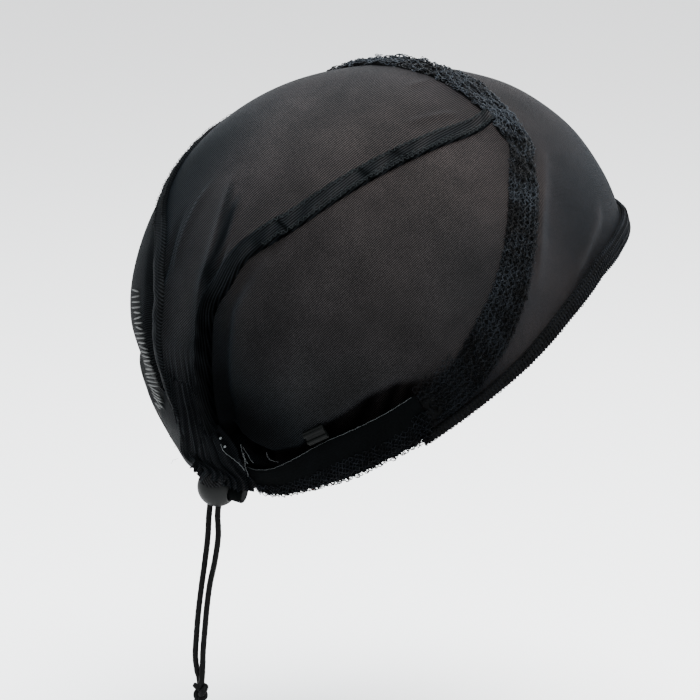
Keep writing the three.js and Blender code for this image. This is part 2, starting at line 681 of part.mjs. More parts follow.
// Hanging cord ends and the knot that ties them
const fromLock = (place) => new THREE.Vector3(...place).add(lock.position);
const cordSection = new THREE.Shape(Array.from({ length: cordSides }, (_, i) => {
  const turn = 2 * Math.PI * i / cordSides;
  return new THREE.Vector2(Math.cos(turn), Math.sin(turn)).multiplyScalar(cordDiameter / 2);
}));
for (const [label] of sides) {
  const route = new THREE.CatmullRomCurve3(cordRoutes[label].map(fromLock), false, 'centripetal');
  const tube = new THREE.ExtrudeGeometry(cordSection, { steps: cordSteps, extrudePath: route });
  addPiece(`drawcord_${label}`, tube, cloth.cord);
}
const tailReach = knotRadius + knotTail;
let knot = solidOf(new THREE.SphereGeometry(knotRadius, 14, 10));
for (const lean of [-knotLean, knotLean]) {
  const tail = new THREE.CylinderGeometry(cordDiameter / 2, cordDiameter / 2, tailReach, 10)
    .translate(0, -tailReach / 2, 0).rotateZ(lean * degrees);
  knot = knot.add(solidOf(tail.rotateX(Math.PI / 2)));
}
addPiece('cord_knot', geometryOf(knot), cloth.cord).position.copy(fromLock(knotPlace));

export default cap;
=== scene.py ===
# %% [markdown]
# # Dressing a wig cap
#
# A wig cap is a thin stretch-mesh dome that is worn under a wig. This one has a lace band from ear to
# ear over the crown, a knitted hem round the face, two elastic straps that run to the nape, and a cord
# lock that draws the nape tight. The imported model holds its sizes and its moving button. Here each
# piece gets its real surface: fine cloth with folds, yarn, stitches, braid and moulded plastic.
#
# The cells follow the way the cap is sewn, after the camera and the cords, which come first.

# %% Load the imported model
import math

import bpy
import numpy as np
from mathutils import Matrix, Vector


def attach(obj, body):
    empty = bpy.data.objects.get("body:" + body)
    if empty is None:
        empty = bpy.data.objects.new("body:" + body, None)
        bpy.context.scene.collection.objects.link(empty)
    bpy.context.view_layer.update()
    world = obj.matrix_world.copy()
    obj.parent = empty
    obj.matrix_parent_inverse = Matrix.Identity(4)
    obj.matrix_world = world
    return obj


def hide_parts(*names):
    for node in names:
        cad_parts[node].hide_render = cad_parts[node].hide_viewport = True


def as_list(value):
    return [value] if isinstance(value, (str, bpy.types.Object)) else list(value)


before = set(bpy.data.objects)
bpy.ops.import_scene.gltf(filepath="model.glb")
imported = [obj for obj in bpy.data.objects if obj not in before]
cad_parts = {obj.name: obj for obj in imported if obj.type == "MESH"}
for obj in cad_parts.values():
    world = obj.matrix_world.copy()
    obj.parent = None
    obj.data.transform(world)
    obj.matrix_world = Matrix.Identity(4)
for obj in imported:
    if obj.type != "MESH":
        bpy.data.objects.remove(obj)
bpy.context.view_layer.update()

# %% [markdown]
# ## Camera
#
# The cap is seen from behind its right side and a little above. A long lens keeps the dome round. A
# camera could be aimed by eye; here it circles a look point inside the cap, so an angle and a distance
# describe it fully, and a small shift puts the look point where the picture has it.

# %% Place the camera
PICTURE_PIXELS = 700
LOOK_POINT = Vector((0, 0, -0.075))
LOOK_PIXEL = (380, 283)
AZIMUTH, ELEVATION = 226, 10
DISTANCE = 1.10
SENSOR = 36
LENS = 161.8


def placed(name, data):
    """A new object at the origin, linked into the scene."""
    thing = bpy.data.objects.new(name, data)
    bpy.context.scene.collection.objects.link(thing)
    return thing


def around(azimuth, elevation, distance, centre=LOOK_POINT):
    """The place at this angle and distance from a centre, with azimuth 0 in front of the face."""
    turn, rise = math.radians(azimuth), math.radians(elevation)
    way = Vector((math.sin(turn) * math.cos(rise), -math.cos(turn) * math.cos(rise), math.sin(rise)))
    return centre + distance * way


lens = bpy.data.cameras.new("camera")
lens.sensor_width = SENSOR
lens.lens = LENS
lens.clip_start = 0.05
lens.shift_x = -(LOOK_PIXEL[0] - PICTURE_PIXELS / 2) / PICTURE_PIXELS
lens.shift_y = (LOOK_PIXEL[1] - PICTURE_PIXELS / 2) / PICTURE_PIXELS
camera = placed("camera", lens)
camera.location = around(AZIMUTH, ELEVATION, DISTANCE)
camera.rotation_euler = (LOOK_POINT - camera.location).to_track_quat("-Z", "Y").to_euler()
bpy.context.scene.camera = camera
print("camera at", [round(value, 3) for value in camera.location])

# %% [markdown]
# ## Tables and smooth paths
#
# A sewn thing is mostly curves that someone chose: where a seam runs, how wide a band is along its
# length. Short tables hold those choices as shares of the head's sizes. Two helpers read them: one
# looks a value up between its rows, and one draws a smooth curve through a few points and steps along
# it evenly. A centripetal spline is used because it never loops or overshoots between close points.

# %% Helpers for tables and paths
def from_table(rows, value, column=1):
    """The table's value between its rows, held at both ends."""
    return np.interp(value, [row[0] for row in rows], [row[column] for row in rows])


def smooth_step(low, high, value):
    """0 below low, 1 above high, and an eased change between them."""
    share = np.clip((value - low) / (high - low), 0, 1)
    return share * share * (3 - 2 * share)


def unit(vectors):
    """The same vectors at length 1."""
    return vectors / np.maximum(np.linalg.norm(vectors, axis=-1, keepdims=True), 1e-12)


def travelled(points):
    """How far along a path each of its points lies."""
    return np.concatenate([[0], np.cumsum(np.linalg.norm(np.diff(points, axis=0), axis=1))])


def evenly(points, shares):
    """Places on a path, at shares of its length."""
    distance = travelled(points)
    return np.column_stack([np.interp(shares * distance[-1], distance, points[:, k]) for k in range(3)])


def spline(points, dense=24):
    """A centripetal Catmull-Rom curve through the points, finely stepped."""
    points = np.asarray(points, float)
    ring = np.vstack([2 * points[0] - points[1], points, 2 * points[-1] - points[-2]])
    pieces = []
    t = np.linspace(0, 1, dense, endpoint=False)[:, None]
    for a, b, c, d in zip(ring, ring[1:], ring[2:], ring[3:]):
        before, across, after = (np.linalg.norm(q - p) ** 0.5 + 1e-9 for p, q in ((a, b), (b, c), (c, d)))
        leave = across * ((b - a) / before - (c - a) / (before + across) + (c - b) / across)
        arrive = across * ((c - b) / across - (d - b) / (across + after) + (d - c) / after)
        pieces.append(b * (2 * t**3 - 3 * t**2 + 1) + leave * (t**3 - 2 * t**2 + t)
                      + c * (3 * t**2 - 2 * t**3) + arrive * (t**3 - t**2))
    return np.vstack(pieces + [points[-1:]])


def smooth_path(points, steps, cut_start=0.0, cut_end=0.0):
    """Evenly stepped points on a smooth curve, less a length cut from its start and its end."""
    curve = spline(points)
    length = travelled(curve)[-1]
    return evenly(curve, np.linspace(cut_start, length - cut_end, steps + 1) / length)


print("helpers ready")

# %% [markdown]
# ## The head form
#
# The cap keeps the form of the head that stretches it. A scan could give that form, but a rule is
# easier to dress: its plan is a rounded oval, a little longer to the face, and each upright section is
# a rounded arch over the widest level and a slower curve under it. Every piece below asks this rule
# for the place of its points, so all of them lie on one form, a layer apart.

# %% Sizes of the head form, in metres
HALF_BREADTH = 0.075
FRONT_LENGTH = 0.092
BACK_LENGTH = 0.091
CROWN_HEIGHT = 0.086
SIDE_REACH = 0.150
NAPE_REACH = 0.110
PLAN_FRONT, PLAN_BACK = 2.25, 2.15
DOME_FRONT, DOME_BACK = 2.45, 2.0
LOWER_ROUNDNESS = 1.5
NAPE_TURN = 1.5
FOREHEAD_DROP = 0.0555
NAPE_DROP = 0.1365
CENTRE = np.array([0, 0, -CROWN_HEIGHT])
SIDES = (("right", -1), ("left", 1))

# angle from the face in degrees, drop as a share of the way from the forehead to the nape
RIM_ROWS = [
    (0, 0), (20, 0.004), (35, 0.02), (50, 0.07), (65, 0.15), (80, 0.29), (95, 0.45),
    (110, 0.595), (125, 0.745), (140, 0.87), (152, 0.94), (165, 0.965), (180, 1),
]


def plan_radius(sine, cosine):
    """Radius of the widest outline, towards an angle given by its sine and cosine from the face."""
    length = np.where(cosine > 0, FRONT_LENGTH, BACK_LENGTH)
    power = PLAN_BACK + (PLAN_FRONT - PLAN_BACK) * (1 + cosine) / 2
    return ((np.abs(sine) / HALF_BREADTH) ** power + (np.abs(cosine) / length) ** power) ** (-1 / power)


def reach_and_roundness(cosine, above):
    """Height of an upright section's arch, and how square it is."""
    to_nape = np.where(cosine < 0, np.abs(cosine) ** NAPE_TURN, 0)
    reach = np.where(above, CROWN_HEIGHT, SIDE_REACH + (NAPE_REACH - SIDE_REACH) * to_nape)
    roundness = np.where(above, DOME_BACK + (DOME_FRONT - DOME_BACK) * (1 + cosine) / 2, LOWER_ROUNDNESS)
    return reach, roundness


def on_form(points):
    """Outward directions and radii of the plain head form through these points."""
    out = points - CENTRE
    flat = np.maximum(np.hypot(out[..., 0], out[..., 1]), 1e-9)
    cosine = -out[..., 1] / flat
    reach, roundness = reach_and_roundness(cosine, out[..., 2] > 0)
    across = flat / plan_radius(out[..., 0] / flat, cosine)
    upward = np.abs(out[..., 2]) / reach
    scale = (across**roundness + upward**roundness) ** (-1 / roundness)
    return unit(out), np.linalg.norm(out, axis=-1) * scale


def level_point(angle, drop):
    """A point on the plain form, at an angle from the face and a depth below the crown."""
    turn = np.radians(angle)
    sine, cosine = np.sin(turn), np.cos(turn)
    reach, roundness = reach_and_roundness(cosine, drop < CROWN_HEIGHT)
    upward = np.abs(drop - CROWN_HEIGHT) / reach
    flat = plan_radius(sine, cosine) * np.maximum(1 - upward**roundness, 0) ** (1 / roundness)
    return np.stack([sine * flat, -cosine * flat, -drop * np.ones_like(flat)], axis=-1)


def rim_point(angle, raised=0.0):
    """A point on the rim, or raised above it."""
    share = from_table(RIM_ROWS, np.abs(angle))
    return level_point(angle, FOREHEAD_DROP + (NAPE_DROP - FOREHEAD_DROP) * share - raised)


print(f"form {2 * HALF_BREADTH:.3f} wide, {FRONT_LENGTH + BACK_LENGTH:.3f} long, {NAPE_DROP:.3f} high")

# %% [markdown]
# ## Folds and tucks
#
# Stretched mesh doesn't lie quite smooth: the drawn nape pulls a ridge and a deep groove along each
# back seam, and above each strap the cloth hangs clear of the head in a soft tuck. Simulated cloth
# would find its own folds in its own places. The cap's folds are known, so each is a small height
# added along the outward direction, where a table says.

# %% Height of the folds
RIDGE_HEIGHT, RIDGE_INSET = 0.0015, 0.001
VALLEY_DEPTH = 0.003
FOLD_SPREAD = 0.0032
TUCK_DEPTH = 0.004

# across, lengthwise and down, as shares of half breadth, length and nape drop
BACK_SEAM_ROWS = [
    (0.575, -0.12, 0.095), (0.64, 0.03, 0.113), (0.634, 0.218, 0.139), (0.565, 0.53, 0.208),
    (0.415, 0.78, 0.315), (0.268, 0.89, 0.388), (0.212, 0.943, 0.455), (0.16, 0.975, 0.517),
    (0.15, 0.99, 0.643), (0.125, 0.953, 0.756), (0.112, 0.91, 0.832),
]
NAPE_SEAM_ROWS = [(0.112, 0.91, 0.832), (0.106, 0.895, 0.851), (0.10, 0.88, 0.87)]
# drop as a share of the nape's drop, share of the full fold
FOLD_ROWS = [(0.346, 0), (0.397, 0.18), (0.485, 0.82), (0.535, 1), (0.756, 1), (0.851, 0.7), (0.945, 0.4)]
# angle from the face, drop of the tuck's upper and lower edge as shares of the nape's drop, depth share
TUCK_ROWS = [
    (118, 0.655, 0.725, 0), (124, 0.661, 0.756, 0.5), (130, 0.665, 0.787, 1), (136.5, 0.693, 0.822, 1),
    (143, 0.746, 0.857, 1), (147.5, 0.777, 0.876, 0.9), (153, 0.838, 0.895, 0.6), (160, 0.857, 0.914, 0.7),
    (165, 0.838, 0.901, 1.1), (170, 0.8, 0.876, 0.8), (174, 0.787, 0.87, 0),
]
TUCK_SECTION = [(0, 0), (0.15, 0.3), (0.3, 0.85), (0.5, 1), (0.7, 0.9), (0.88, 0.3), (1, 0)]
# the left side of the nape is drawn up and in, as the lock hangs to the right: angle, share
DRAW_ROWS = [(126, 0), (140, 0.6), (148, 1), (158, 1), (170, 0.4), (177, 0)]
DRAW_UPWARD, DRAW_INWARD = 0.0045, 0.0025
DRAW_FROM, DRAW_TO = 0.5, 0.85


def fold_height(points):
    """Height of the ridge and groove that run beside each back seam."""
    drop = -points[..., 2]
    seam = sorted((down * NAPE_DROP, across * HALF_BREADTH)
                  for across, _, down in BACK_SEAM_ROWS[4:] + NAPE_SEAM_ROWS[1:])
    aside = np.abs(points[..., 0]) - from_table(seam, drop)
    ridge = RIDGE_HEIGHT * np.exp(-(((aside + RIDGE_INSET) / FOLD_SPREAD) ** 2))
    valley = VALLEY_DEPTH * np.exp(-(((aside - 2 * FOLD_SPREAD) / FOLD_SPREAD) ** 2))
    behind = points[..., 1] > 0
    return np.where(behind, from_table(FOLD_ROWS, drop / NAPE_DROP) * (ridge - valley), 0)


def tuck_depth(points):
    """How far a panel hangs inwards in the tuck above the strap."""
    angle = np.degrees(np.arctan2(np.abs(points[..., 0]), -points[..., 1]))
    top = from_table(TUCK_ROWS, angle, 1) * NAPE_DROP
    foot = from_table(TUCK_ROWS, angle, 2) * NAPE_DROP
    share = np.clip((-points[..., 2] - top) / (foot - top), 0, 1)
    return TUCK_DEPTH * from_table(TUCK_ROWS, angle, 3) * from_table(TUCK_SECTION, share)


def drawn_in(points):
    """Points of the wearer's left side, moved with the drawn nape."""
    x, y, z = points[..., 0], points[..., 1], points[..., 2]
    share = from_table(DRAW_ROWS, np.degrees(np.arctan2(x, -y)))
    share = np.where(x > 0, share, 0) * smooth_step(DRAW_FROM, DRAW_TO, -z / NAPE_DROP)
    shrink = 1 - DRAW_INWARD * share / np.maximum(np.hypot(x, y), 1e-6)
    return np.stack([x * shrink, y * shrink, z + DRAW_UPWARD * share], axis=-1)


def bare_head(points):
    """The outward directions at points, and their places on the plain form."""
    direction, radius = on_form(points)
    return direction, CENTRE + direction * radius[..., None]


def on_cap(points, lift=0.0):
    """Points on the cloth, lifted off the head by the layers under them."""
    direction, bare = bare_head(points)
    height = fold_height(bare) + lift
    return drawn_in(bare + direction * height[..., None])


def from_shares(rows, side):
    """The rows' places in metres, on the wearer's right (-1) or left (1)."""
    across, along, down = np.array(rows, float).T
    length = np.where(along < 0, FRONT_LENGTH, BACK_LENGTH)
    return np.column_stack([side * across * HALF_BREADTH, along * length, -down * NAPE_DROP])


def moved(path, distance):
    """A path moved sideways on the cloth, positive to the right of its way seen from outside."""
    ahead = np.vstack([path[1:], path[-1:]]) - np.vstack([path[:1], path[:-1]])
    return path + np.reshape(distance, (-1, 1)) * unit(np.cross(ahead, on_form(path)[0]))


probe = on_cap(rim_point(np.linspace(-180, 180, 9)))
print("rim heights:", np.round(probe[:, 2], 3))

# %% [markdown]
# ## Building meshes
#
# Cloth, bands and cords are all grids of points: a sheet is a grid with a second one behind it, and a
# band or cord is a grid whose columns close into a ring. Working with grids keeps the cells short, and
# the helpers below turn them into closed meshes that face outwards. Each carries its texture
# coordinates in metres, so a weave has its real pitch on every piece.

# %% Helpers for meshes
def grid_faces(rows, columns, ring=False):
    """Quads between the points of a grid, closed round to its first column if it is a ring."""
    i, j = np.meshgrid(np.arange(rows - 1), np.arange(columns - (not ring)), indexing="ij")
    k = (j + 1) % columns
    quads = [i * columns + j, i * columns + k, (i + 1) * columns + k, (i + 1) * columns + j]
    return np.stack(quads, axis=-1).reshape(-1, 4)


def faces_outwards(points, quads):
    """Whether closed quads enclose a positive volume."""
    a, b, c, d = (points[quads[:, k]] - points.mean(axis=0) for k in range(4))
    return (np.cross(a, b) * c).sum() + (np.cross(a, c) * d).sum() > 0


def mesh_piece(name, points, quads, ends=(), uv=None, **values):
    """A closed mesh with its texture coordinates and any named values at its points."""
    quads = np.asarray(quads)
    faces = quads.tolist() + [list(face) for face in ends]
    if not faces_outwards(points, quads):
        faces = [face[::-1] for face in faces]
    mesh = bpy.data.meshes.new(name)
    mesh.from_pydata(points.tolist(), [], faces)
    if uv is not None:
        corner = np.empty(len(mesh.loops), int)
        mesh.loops.foreach_get("vertex_index", corner)
        mesh.uv_layers.new(name="UVMap").data.foreach_set("uv", uv[corner].ravel())
    for key, value in values.items():
        mesh.attributes.new(key, "FLOAT", "POINT").data.foreach_set("value", np.ravel(value))
    mesh.shade_smooth()
    mesh.set_sharp_from_angle(angle=math.radians(50))
    return placed(name, mesh)


def sheet_piece(name, outer, inner, uv, **values):
    """A closed sheet from the grids of its two faces."""
    rows, columns = outer.shape[:2]
    front = grid_faces(rows, columns)
    count = rows * columns
    index = np.arange(count).reshape(rows, columns)
    loop = np.concatenate([index[0, :-1], index[:-1, -1], index[-1, :0:-1], index[:0:-1, 0]])
    border = np.column_stack([np.roll(loop, -1), loop, loop + count, np.roll(loop, -1) + count])
    quads = np.vstack([front, front[:, ::-1] + count, border])
    points = np.vstack([outer.reshape(-1, 3), inner.reshape(-1, 3)])
    both = {key: np.tile(np.ravel(value), 2) for key, value in values.items()}
    return mesh_piece(name, points, quads, uv=np.tile(uv.reshape(-1, 2), (2, 1)), **both)


def ring_piece(name, rings, uv=None, **values):
    """A closed band or cord from a grid of rings, with a point in the middle of each end."""
    rows, columns = rings.shape[:2]
    points = np.vstack([rings.reshape(-1, 3), rings[0].mean(axis=0), rings[-1].mean(axis=0)])
    first, last = rows * columns, rows * columns + 1
    ends = []
    for k in range(columns):
        after = (k + 1) % columns
        ends.append((k, first, after))
        ends.append((first - columns + after, last, first - columns + k))
    if uv is not None:
        flat = uv.reshape(-1, 2)
        uv = np.vstack([flat, flat[:1], flat[-1:]])
    both = {key: np.append(np.ravel(value), [1.0, 1.0]) for key, value in values.items()}
    return mesh_piece(name, points, grid_faces(rows, columns, ring=True), ends, uv, **both)


def tube(path, radius, sides):
    """Rings round a path, and their texture coordinates. The radius is a function of distance and angle,
    and each ring is turned as little as it can be from the one before."""
    ahead = unit(np.gradient(path, axis=0))
    across = [unit(np.cross(ahead[0], (0.1, 0.9, 0.3)))]
    for way in ahead[1:]:
        across.append(unit(across[-1] - way * np.dot(across[-1], way)))
    across = np.array(across)
    up = np.cross(across, ahead)
    angle = np.linspace(0, 2 * np.pi, sides, endpoint=False)
    size = radius(travelled(path)[:, None], angle[None, :])[..., None]
    spoke = across[:, None] * np.cos(angle)[None, :, None] + up[:, None] * np.sin(angle)[None, :, None]
    uv = np.stack(np.broadcast_arrays(travelled(path)[:, None], angle[None, :] * np.mean(size)), -1)
    return path[:, None] + spoke * size, uv


def dress(piece, material, replaces=(), body="cap"):
    """Give a piece its material and the body that it rides, and hide the CAD nodes it stands for."""
    piece.data.materials.clear()
    piece.data.materials.append(material)
    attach(piece, body)
    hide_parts(*replaces)
    return piece


print("mesh helpers ready")

# %% [markdown]
# ## Finishes
#
# All of this is black, yet no two pieces look alike: sheer mesh shows its slanting threads and a cool
# sheen near its edges, lace sparkles with lit yarn, elastic is smooth, and plastic has one soft
# highlight. A photo of cloth could be wrapped on, but the threads are regular, so a few waves and some
# noise draw them at their real pitch and stay sharp from any distance.

# %% Helpers for node trees
def wire(tree, kind, inputs=None, **settings):
    """Add a node, set it up, and link or set its inputs. A node given as input gives its first output."""
    made = tree.nodes.new(kind)
    for key, value in settings.items():
        setattr(made, key, value)
    for key, value in (inputs or {}).items():
        value = value.outputs[0] if isinstance(value, bpy.types.Node) else value
        if isinstance(value, bpy.types.NodeSocket):
            tree.links.new(value, made.inputs[key])
        else:
            made.inputs[key].default_value = value
    return made


def sum_up(tree, operation, *values):
    """The result of a math node on numbers or sockets."""
    return wire(tree, "ShaderNodeMath", dict(enumerate(values)), operation=operation).outputs[0]


def scaled(tree, vector, amount):
    """A vector or colour times an amount."""
    return wire(tree, "ShaderNodeVectorMath", {0: vector, "Scale": amount}, operation="SCALE").outputs[0]


def blank_material(name):
    """A material with one Principled shader, and its tree."""
    made = bpy.data.materials.new(name)
    made.use_nodes = True
    tree = made.node_tree
    tree.nodes.clear()
    shader = wire(tree, "ShaderNodeBsdfPrincipled")
    wire(tree, "ShaderNodeOutputMaterial", {"Surface": shader})
    return made, tree, shader


def noise(tree, scale, detail):
    """Noise from -0.5 to 0.5 over the piece, with scale in grains to the metre."""
    place = wire(tree, "ShaderNodeTexCoord").outputs["Object"]
    made = wire(tree, "ShaderNodeTexNoise", {"Vector": place, "Scale": scale, "Detail": detail})
    return sum_up(tree, "SUBTRACT", made.outputs[0], 0.5)


def between(tree, share, low, high):
    """A colour between two, by a share from 0 to 1."""
    ramp = wire(tree, "ShaderNodeValToRGB", {0: share})
    ramp.color_ramp.elements[0].color = (*low, 1)
    ramp.color_ramp.elements[1].color = (*high, 1)
    return ramp.outputs[0]


def bump(tree, shader, height, distance):
    """Let a height, as a share of a distance in metres, tilt the shading."""
    made = wire(tree, "ShaderNodeBump", {"Height": height, "Distance": distance, "Strength": 1.0})
    tree.links.new(made.outputs[0], shader.inputs["Normal"])


def set_up(shader, **values):
    """Set plain values on a Principled shader's sockets."""
    for key, value in values.items():
        shader.inputs[key.replace("_", " ")].default_value = value


print("node helpers ready")

# %% [markdown]
# ### Sheer mesh
#
# Power mesh is warp knitted, so its open columns slant where the cloth is stretched on the bias: fine
# lines a little over half a millimetre apart at some forty degrees, with a fainter set crossing them.
# Two waves give both sets, and noise at three sizes gives the uneven yarn. The sheen is the fuzz of the
# yarn, which catches light at grazing angles and turns the edges of the dome a cool grey. Two values on
# the mesh steer the rest: shade is painted shade, which darkens the colour, gloss and sheen and cools the
# black, and warmth makes it browner where that painted shade is deep.

# %% Mesh material
THREAD_PITCH = 0.0008
THREAD_SLANT, CROSS_SLANT = math.radians(45), math.radians(-41)
BLACK_COOL_IN_SHADE, BLACK_WARM = (0.0090, 0.0111, 0.0130), (0.0147, 0.0117, 0.0111)

mesh_cloth, tree, shader = blank_material("sheer mesh")
coordinates = wire(tree, "ShaderNodeSeparateXYZ", {0: wire(tree, "ShaderNodeTexCoord").outputs["UV"]})
wander = sum_up(tree, "MULTIPLY", noise(tree, 160, 3), 0.9)


def threads(slant, pitch):
    """A wave across threads that run at a slant, with a little wander."""
    along = sum_up(tree, "MULTIPLY", coordinates.outputs[0], 2 * math.pi * math.sin(slant) / pitch)
    down = sum_up(tree, "MULTIPLY", coordinates.outputs[1], 2 * math.pi * math.cos(slant) / pitch)
    return sum_up(tree, "SINE", sum_up(tree, "ADD", sum_up(tree, "ADD", along, down), wander))


main_set = threads(THREAD_SLANT, THREAD_PITCH)
cross_set = threads(CROSS_SLANT, THREAD_PITCH * 1.1)
relief = sum_up(tree, "MULTIPLY_ADD", cross_set, 0.22, main_set)
mottle = sum_up(tree, "MULTIPLY_ADD", noise(tree, 1500, 2), 0.8,
                sum_up(tree, "MULTIPLY_ADD", noise(tree, 210, 3), 0.25, noise(tree, 45, 4)))
lightness = sum_up(tree, "MULTIPLY_ADD", relief, 0.8, sum_up(tree, "MULTIPLY_ADD", mottle, 1.5, 0.40))
lightness = sum_up(tree, "MINIMUM", sum_up(tree, "MAXIMUM", lightness, 0.02), 1.7)
# painted shade: the shade value darkens the colour, gloss and sheen, and the black turns cooler where it is
# deeper
shade = wire(tree, "ShaderNodeAttribute", attribute_name="shade")
warmth = wire(tree, "ShaderNodeAttribute", attribute_name="warmth")
warm_shade = sum_up(tree, "ADD", shade.outputs["Fac"], warmth.outputs["Fac"])
tone_and_shade = between(tree, sum_up(tree, "MULTIPLY_ADD", warm_shade, 1.6, -0.5), BLACK_COOL_IN_SHADE, BLACK_WARM)
shaded = scaled(tree, tone_and_shade, sum_up(tree, "MULTIPLY", lightness, shade.outputs["Fac"]))
tree.links.new(shaded, shader.inputs["Base Color"])
for socket, amount in (("Specular IOR Level", 0.042), ("Sheen Weight", 0.024)):
    tree.links.new(sum_up(tree, "MULTIPLY", shade.outputs["Fac"], amount), shader.inputs[socket])
bump(tree, shader, relief, 0.00007)
set_up(shader, Roughness=0.62, Sheen_Roughness=0.42, Sheen_Tint=(0.5, 0.74, 1.0, 1))
print("mesh threads every", THREAD_PITCH, "m")

# %% [markdown]
# ### Yarn, elastic, cord, thread and plastic
#
# These differ in colour, gloss and grain only, so one helper makes them. Each takes a dark and a light
# colour, mixed by noise at the size of its grain, and the same noise as a faint relief. Near the rim
# everything hangs in the shade of the dome, so colour and gloss are painted darker there, as painted
# shade from a high light at the crown to a low light at the rim. Pale thread ends and the brown picots
# are the only things that aren't black.

# %% Plain materials
RIM_LEVEL, CROWN_LEVEL = -0.115, -0.012
PAINTED_LIGHT_BEND = 1.9


def grained(name, dark, light, grain, relief, roughness, gloss, contrast=1.1, low_light=1.0,
            high_light=1.2, **values):
    """A material whose colour and relief follow a fine grain. Colours are in thousandths, the grain in
    grains to the metre and the relief in micrometres. Colour and gloss are painted lighter from the rim
    to the crown, as painted light and shade."""
    made, tree, shader = blank_material(name)
    grains = sum_up(tree, "ADD", noise(tree, grain, 3), noise(tree, grain / 12, 2))
    share = sum_up(tree, "MULTIPLY_ADD", grains, contrast, 0.5)
    place = wire(tree, "ShaderNodeSeparateXYZ", {0: wire(tree, "ShaderNodeTexCoord").outputs["Object"]})
    # painted shade: colour and gloss fall with height from the crown to the rim
    height = wire(tree, "ShaderNodeMapRange", {"Value": place.outputs[2], "From Min": RIM_LEVEL,
                                               "From Max": CROWN_LEVEL})
    painted_light = sum_up(tree, "MULTIPLY_ADD", sum_up(tree, "POWER", height, PAINTED_LIGHT_BEND),
                    high_light - low_light, low_light)
    dark, light = ([part / 1000 for part in colour] for colour in (dark, light))
    tone_and_shade = scaled(tree, between(tree, share, dark, light), painted_light)
    tree.links.new(tone_and_shade, shader.inputs["Base Color"])
    bump(tree, shader, grains, relief / 1e6)
    set_up(shader, Roughness=roughness, Specular_IOR_Level=gloss, **values)
    tree.links.new(sum_up(tree, "MULTIPLY", painted_light, gloss), shader.inputs["Specular IOR Level"])
    return made


# the lace yarn's grain is partly its own and partly painted highlight: its bright bluish patches stand for
# sparkle
yarn = grained("lace yarn", (0.1, 0.1, 0.2), (9.0, 11.3, 14.5), 900, 60, 0.4, 0.062, contrast=3.0,
               low_light=0.24, high_light=1.6, Sheen_Weight=0.004, Sheen_Roughness=0.4,
               Sheen_Tint=(0.75, 0.88, 1, 1))
hem_yarn = grained("hem yarn", (0.1, 0.1, 0.2), (5.6, 6.6, 8.6), 900, 60, 0.45, 0.045, contrast=3.0,
                   low_light=0.3)
lace_ground = grained("lace ground", (0.1, 0.2, 0.2), (0.5, 0.6, 0.7), 900, 100, 0.85, 0.05)
elastic = grained("elastic", (0.1, 0.2, 0.2), (0.6, 0.8, 1.0), 1400, 40, 0.65, 0.008, Sheen_Weight=0.001,
                  Sheen_Roughness=0.5)
braid = grained("braided cord", (0.2, 0.2, 0.3), (1.1, 1.1, 1.2), 1600, 50, 0.6, 0.04, Sheen_Weight=0.006)
pale_thread = grained("pale thread", (20, 24, 25), (70, 80, 83), 1500, 30, 0.5, 0.3, Sheen_Weight=0.1)
# the bound edge's thread, kept pale to paint the thin highlight that the edge catches
edge_thread_and_highlight = grained("edge thread", (8, 10, 11), (30, 36, 38), 1500, 30, 0.5, 0.2, Sheen_Weight=0.05)
seam_thread = grained("seam thread", (1.0, 1.6, 1.8), (8.5, 11.5, 12.5), 1500, 30, 0.55, 0.06,
                      Sheen_Weight=0.01)
# painted light: the ladder's pale thread stands for light seen through two layers of mesh
ladder_light_thread = grained("ladder thread", (3, 4, 4), (14, 18, 17), 1500, 30, 0.55, 0.2, Sheen_Weight=0.04)
red_thread = grained("picot thread", (22, 6, 4), (95, 34, 24), 1500, 30, 0.6, 0.2, Sheen_Weight=0.05)
plastic = grained("moulded plastic", (0.6, 0.9, 0.9), (1.1, 1.6, 1.6), 260, 20, 0.55, 0.1)
slide_plastic = grained("slide plastic", (0.4, 0.6, 0.6), (0.8, 1.2, 1.1), 260, 20, 0.5, 0.05)
button_plastic = grained("button plastic", (0.2, 0.4, 0.4), (0.5, 0.8, 0.8), 260, 20, 0.6, 0.01)
print("materials:", len(bpy.data.materials))

# %% [markdown]
# ## The cord lock's place
#
# The lock hangs below the gathered nape, turned so that its button faces back and to the side. Its own
# three directions are worked out once: the way the button is pressed, and two across it.

# %% Where the lock hangs
CORD_DIAMETER = 0.0021
CASING_DROP = 0.89 * NAPE_DROP
CASING_HEIGHT, CASING_THICKNESS, CASING_RUFFLE = 0.006, 0.0034, 0.0007
LOCK_RADIUS = 0.0068
LOCK_HANG = 0.0019
LOCK_ASIDE, LOCK_OUTSET = 0.005, 0.0075
LOCK_TURN, LOCK_TILT = math.radians(25), math.radians(11)

lock_drop = CASING_DROP + CASING_HEIGHT / 2 + CASING_RUFFLE / 2 + LOCK_HANG + LOCK_RADIUS
lock_centre = level_point(np.float64(180), np.float64(lock_drop)) + (-LOCK_ASIDE, LOCK_OUTSET, 0)
press = np.array([math.cos(LOCK_TILT) * math.cos(LOCK_TURN), math.cos(LOCK_TILT) * math.sin(LOCK_TURN),
                  math.sin(LOCK_TILT)])
sideways = np.array([-math.sin(LOCK_TURN), math.cos(LOCK_TURN), 0])
through = np.cross(press, sideways)


def in_lock(points):
    """Points in the lock's own directions, placed in the row frame."""
    points = np.asarray(points, float)
    return lock_centre + points @ np.array([press, sideways, through])


print("lock at", np.round(lock_centre, 4))

# %% [markdown]
# ## Drawcords
#
# Two ends of one braided cord leave the lock side by side and hang about seven centimetres to the knot
# that ties them. A round braid has strands that spiral both ways and cross over and under. A plain
# tube with that relief pressed into it is lighter than winding each strand, and it keeps one clean
# centre line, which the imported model's cord follows too.

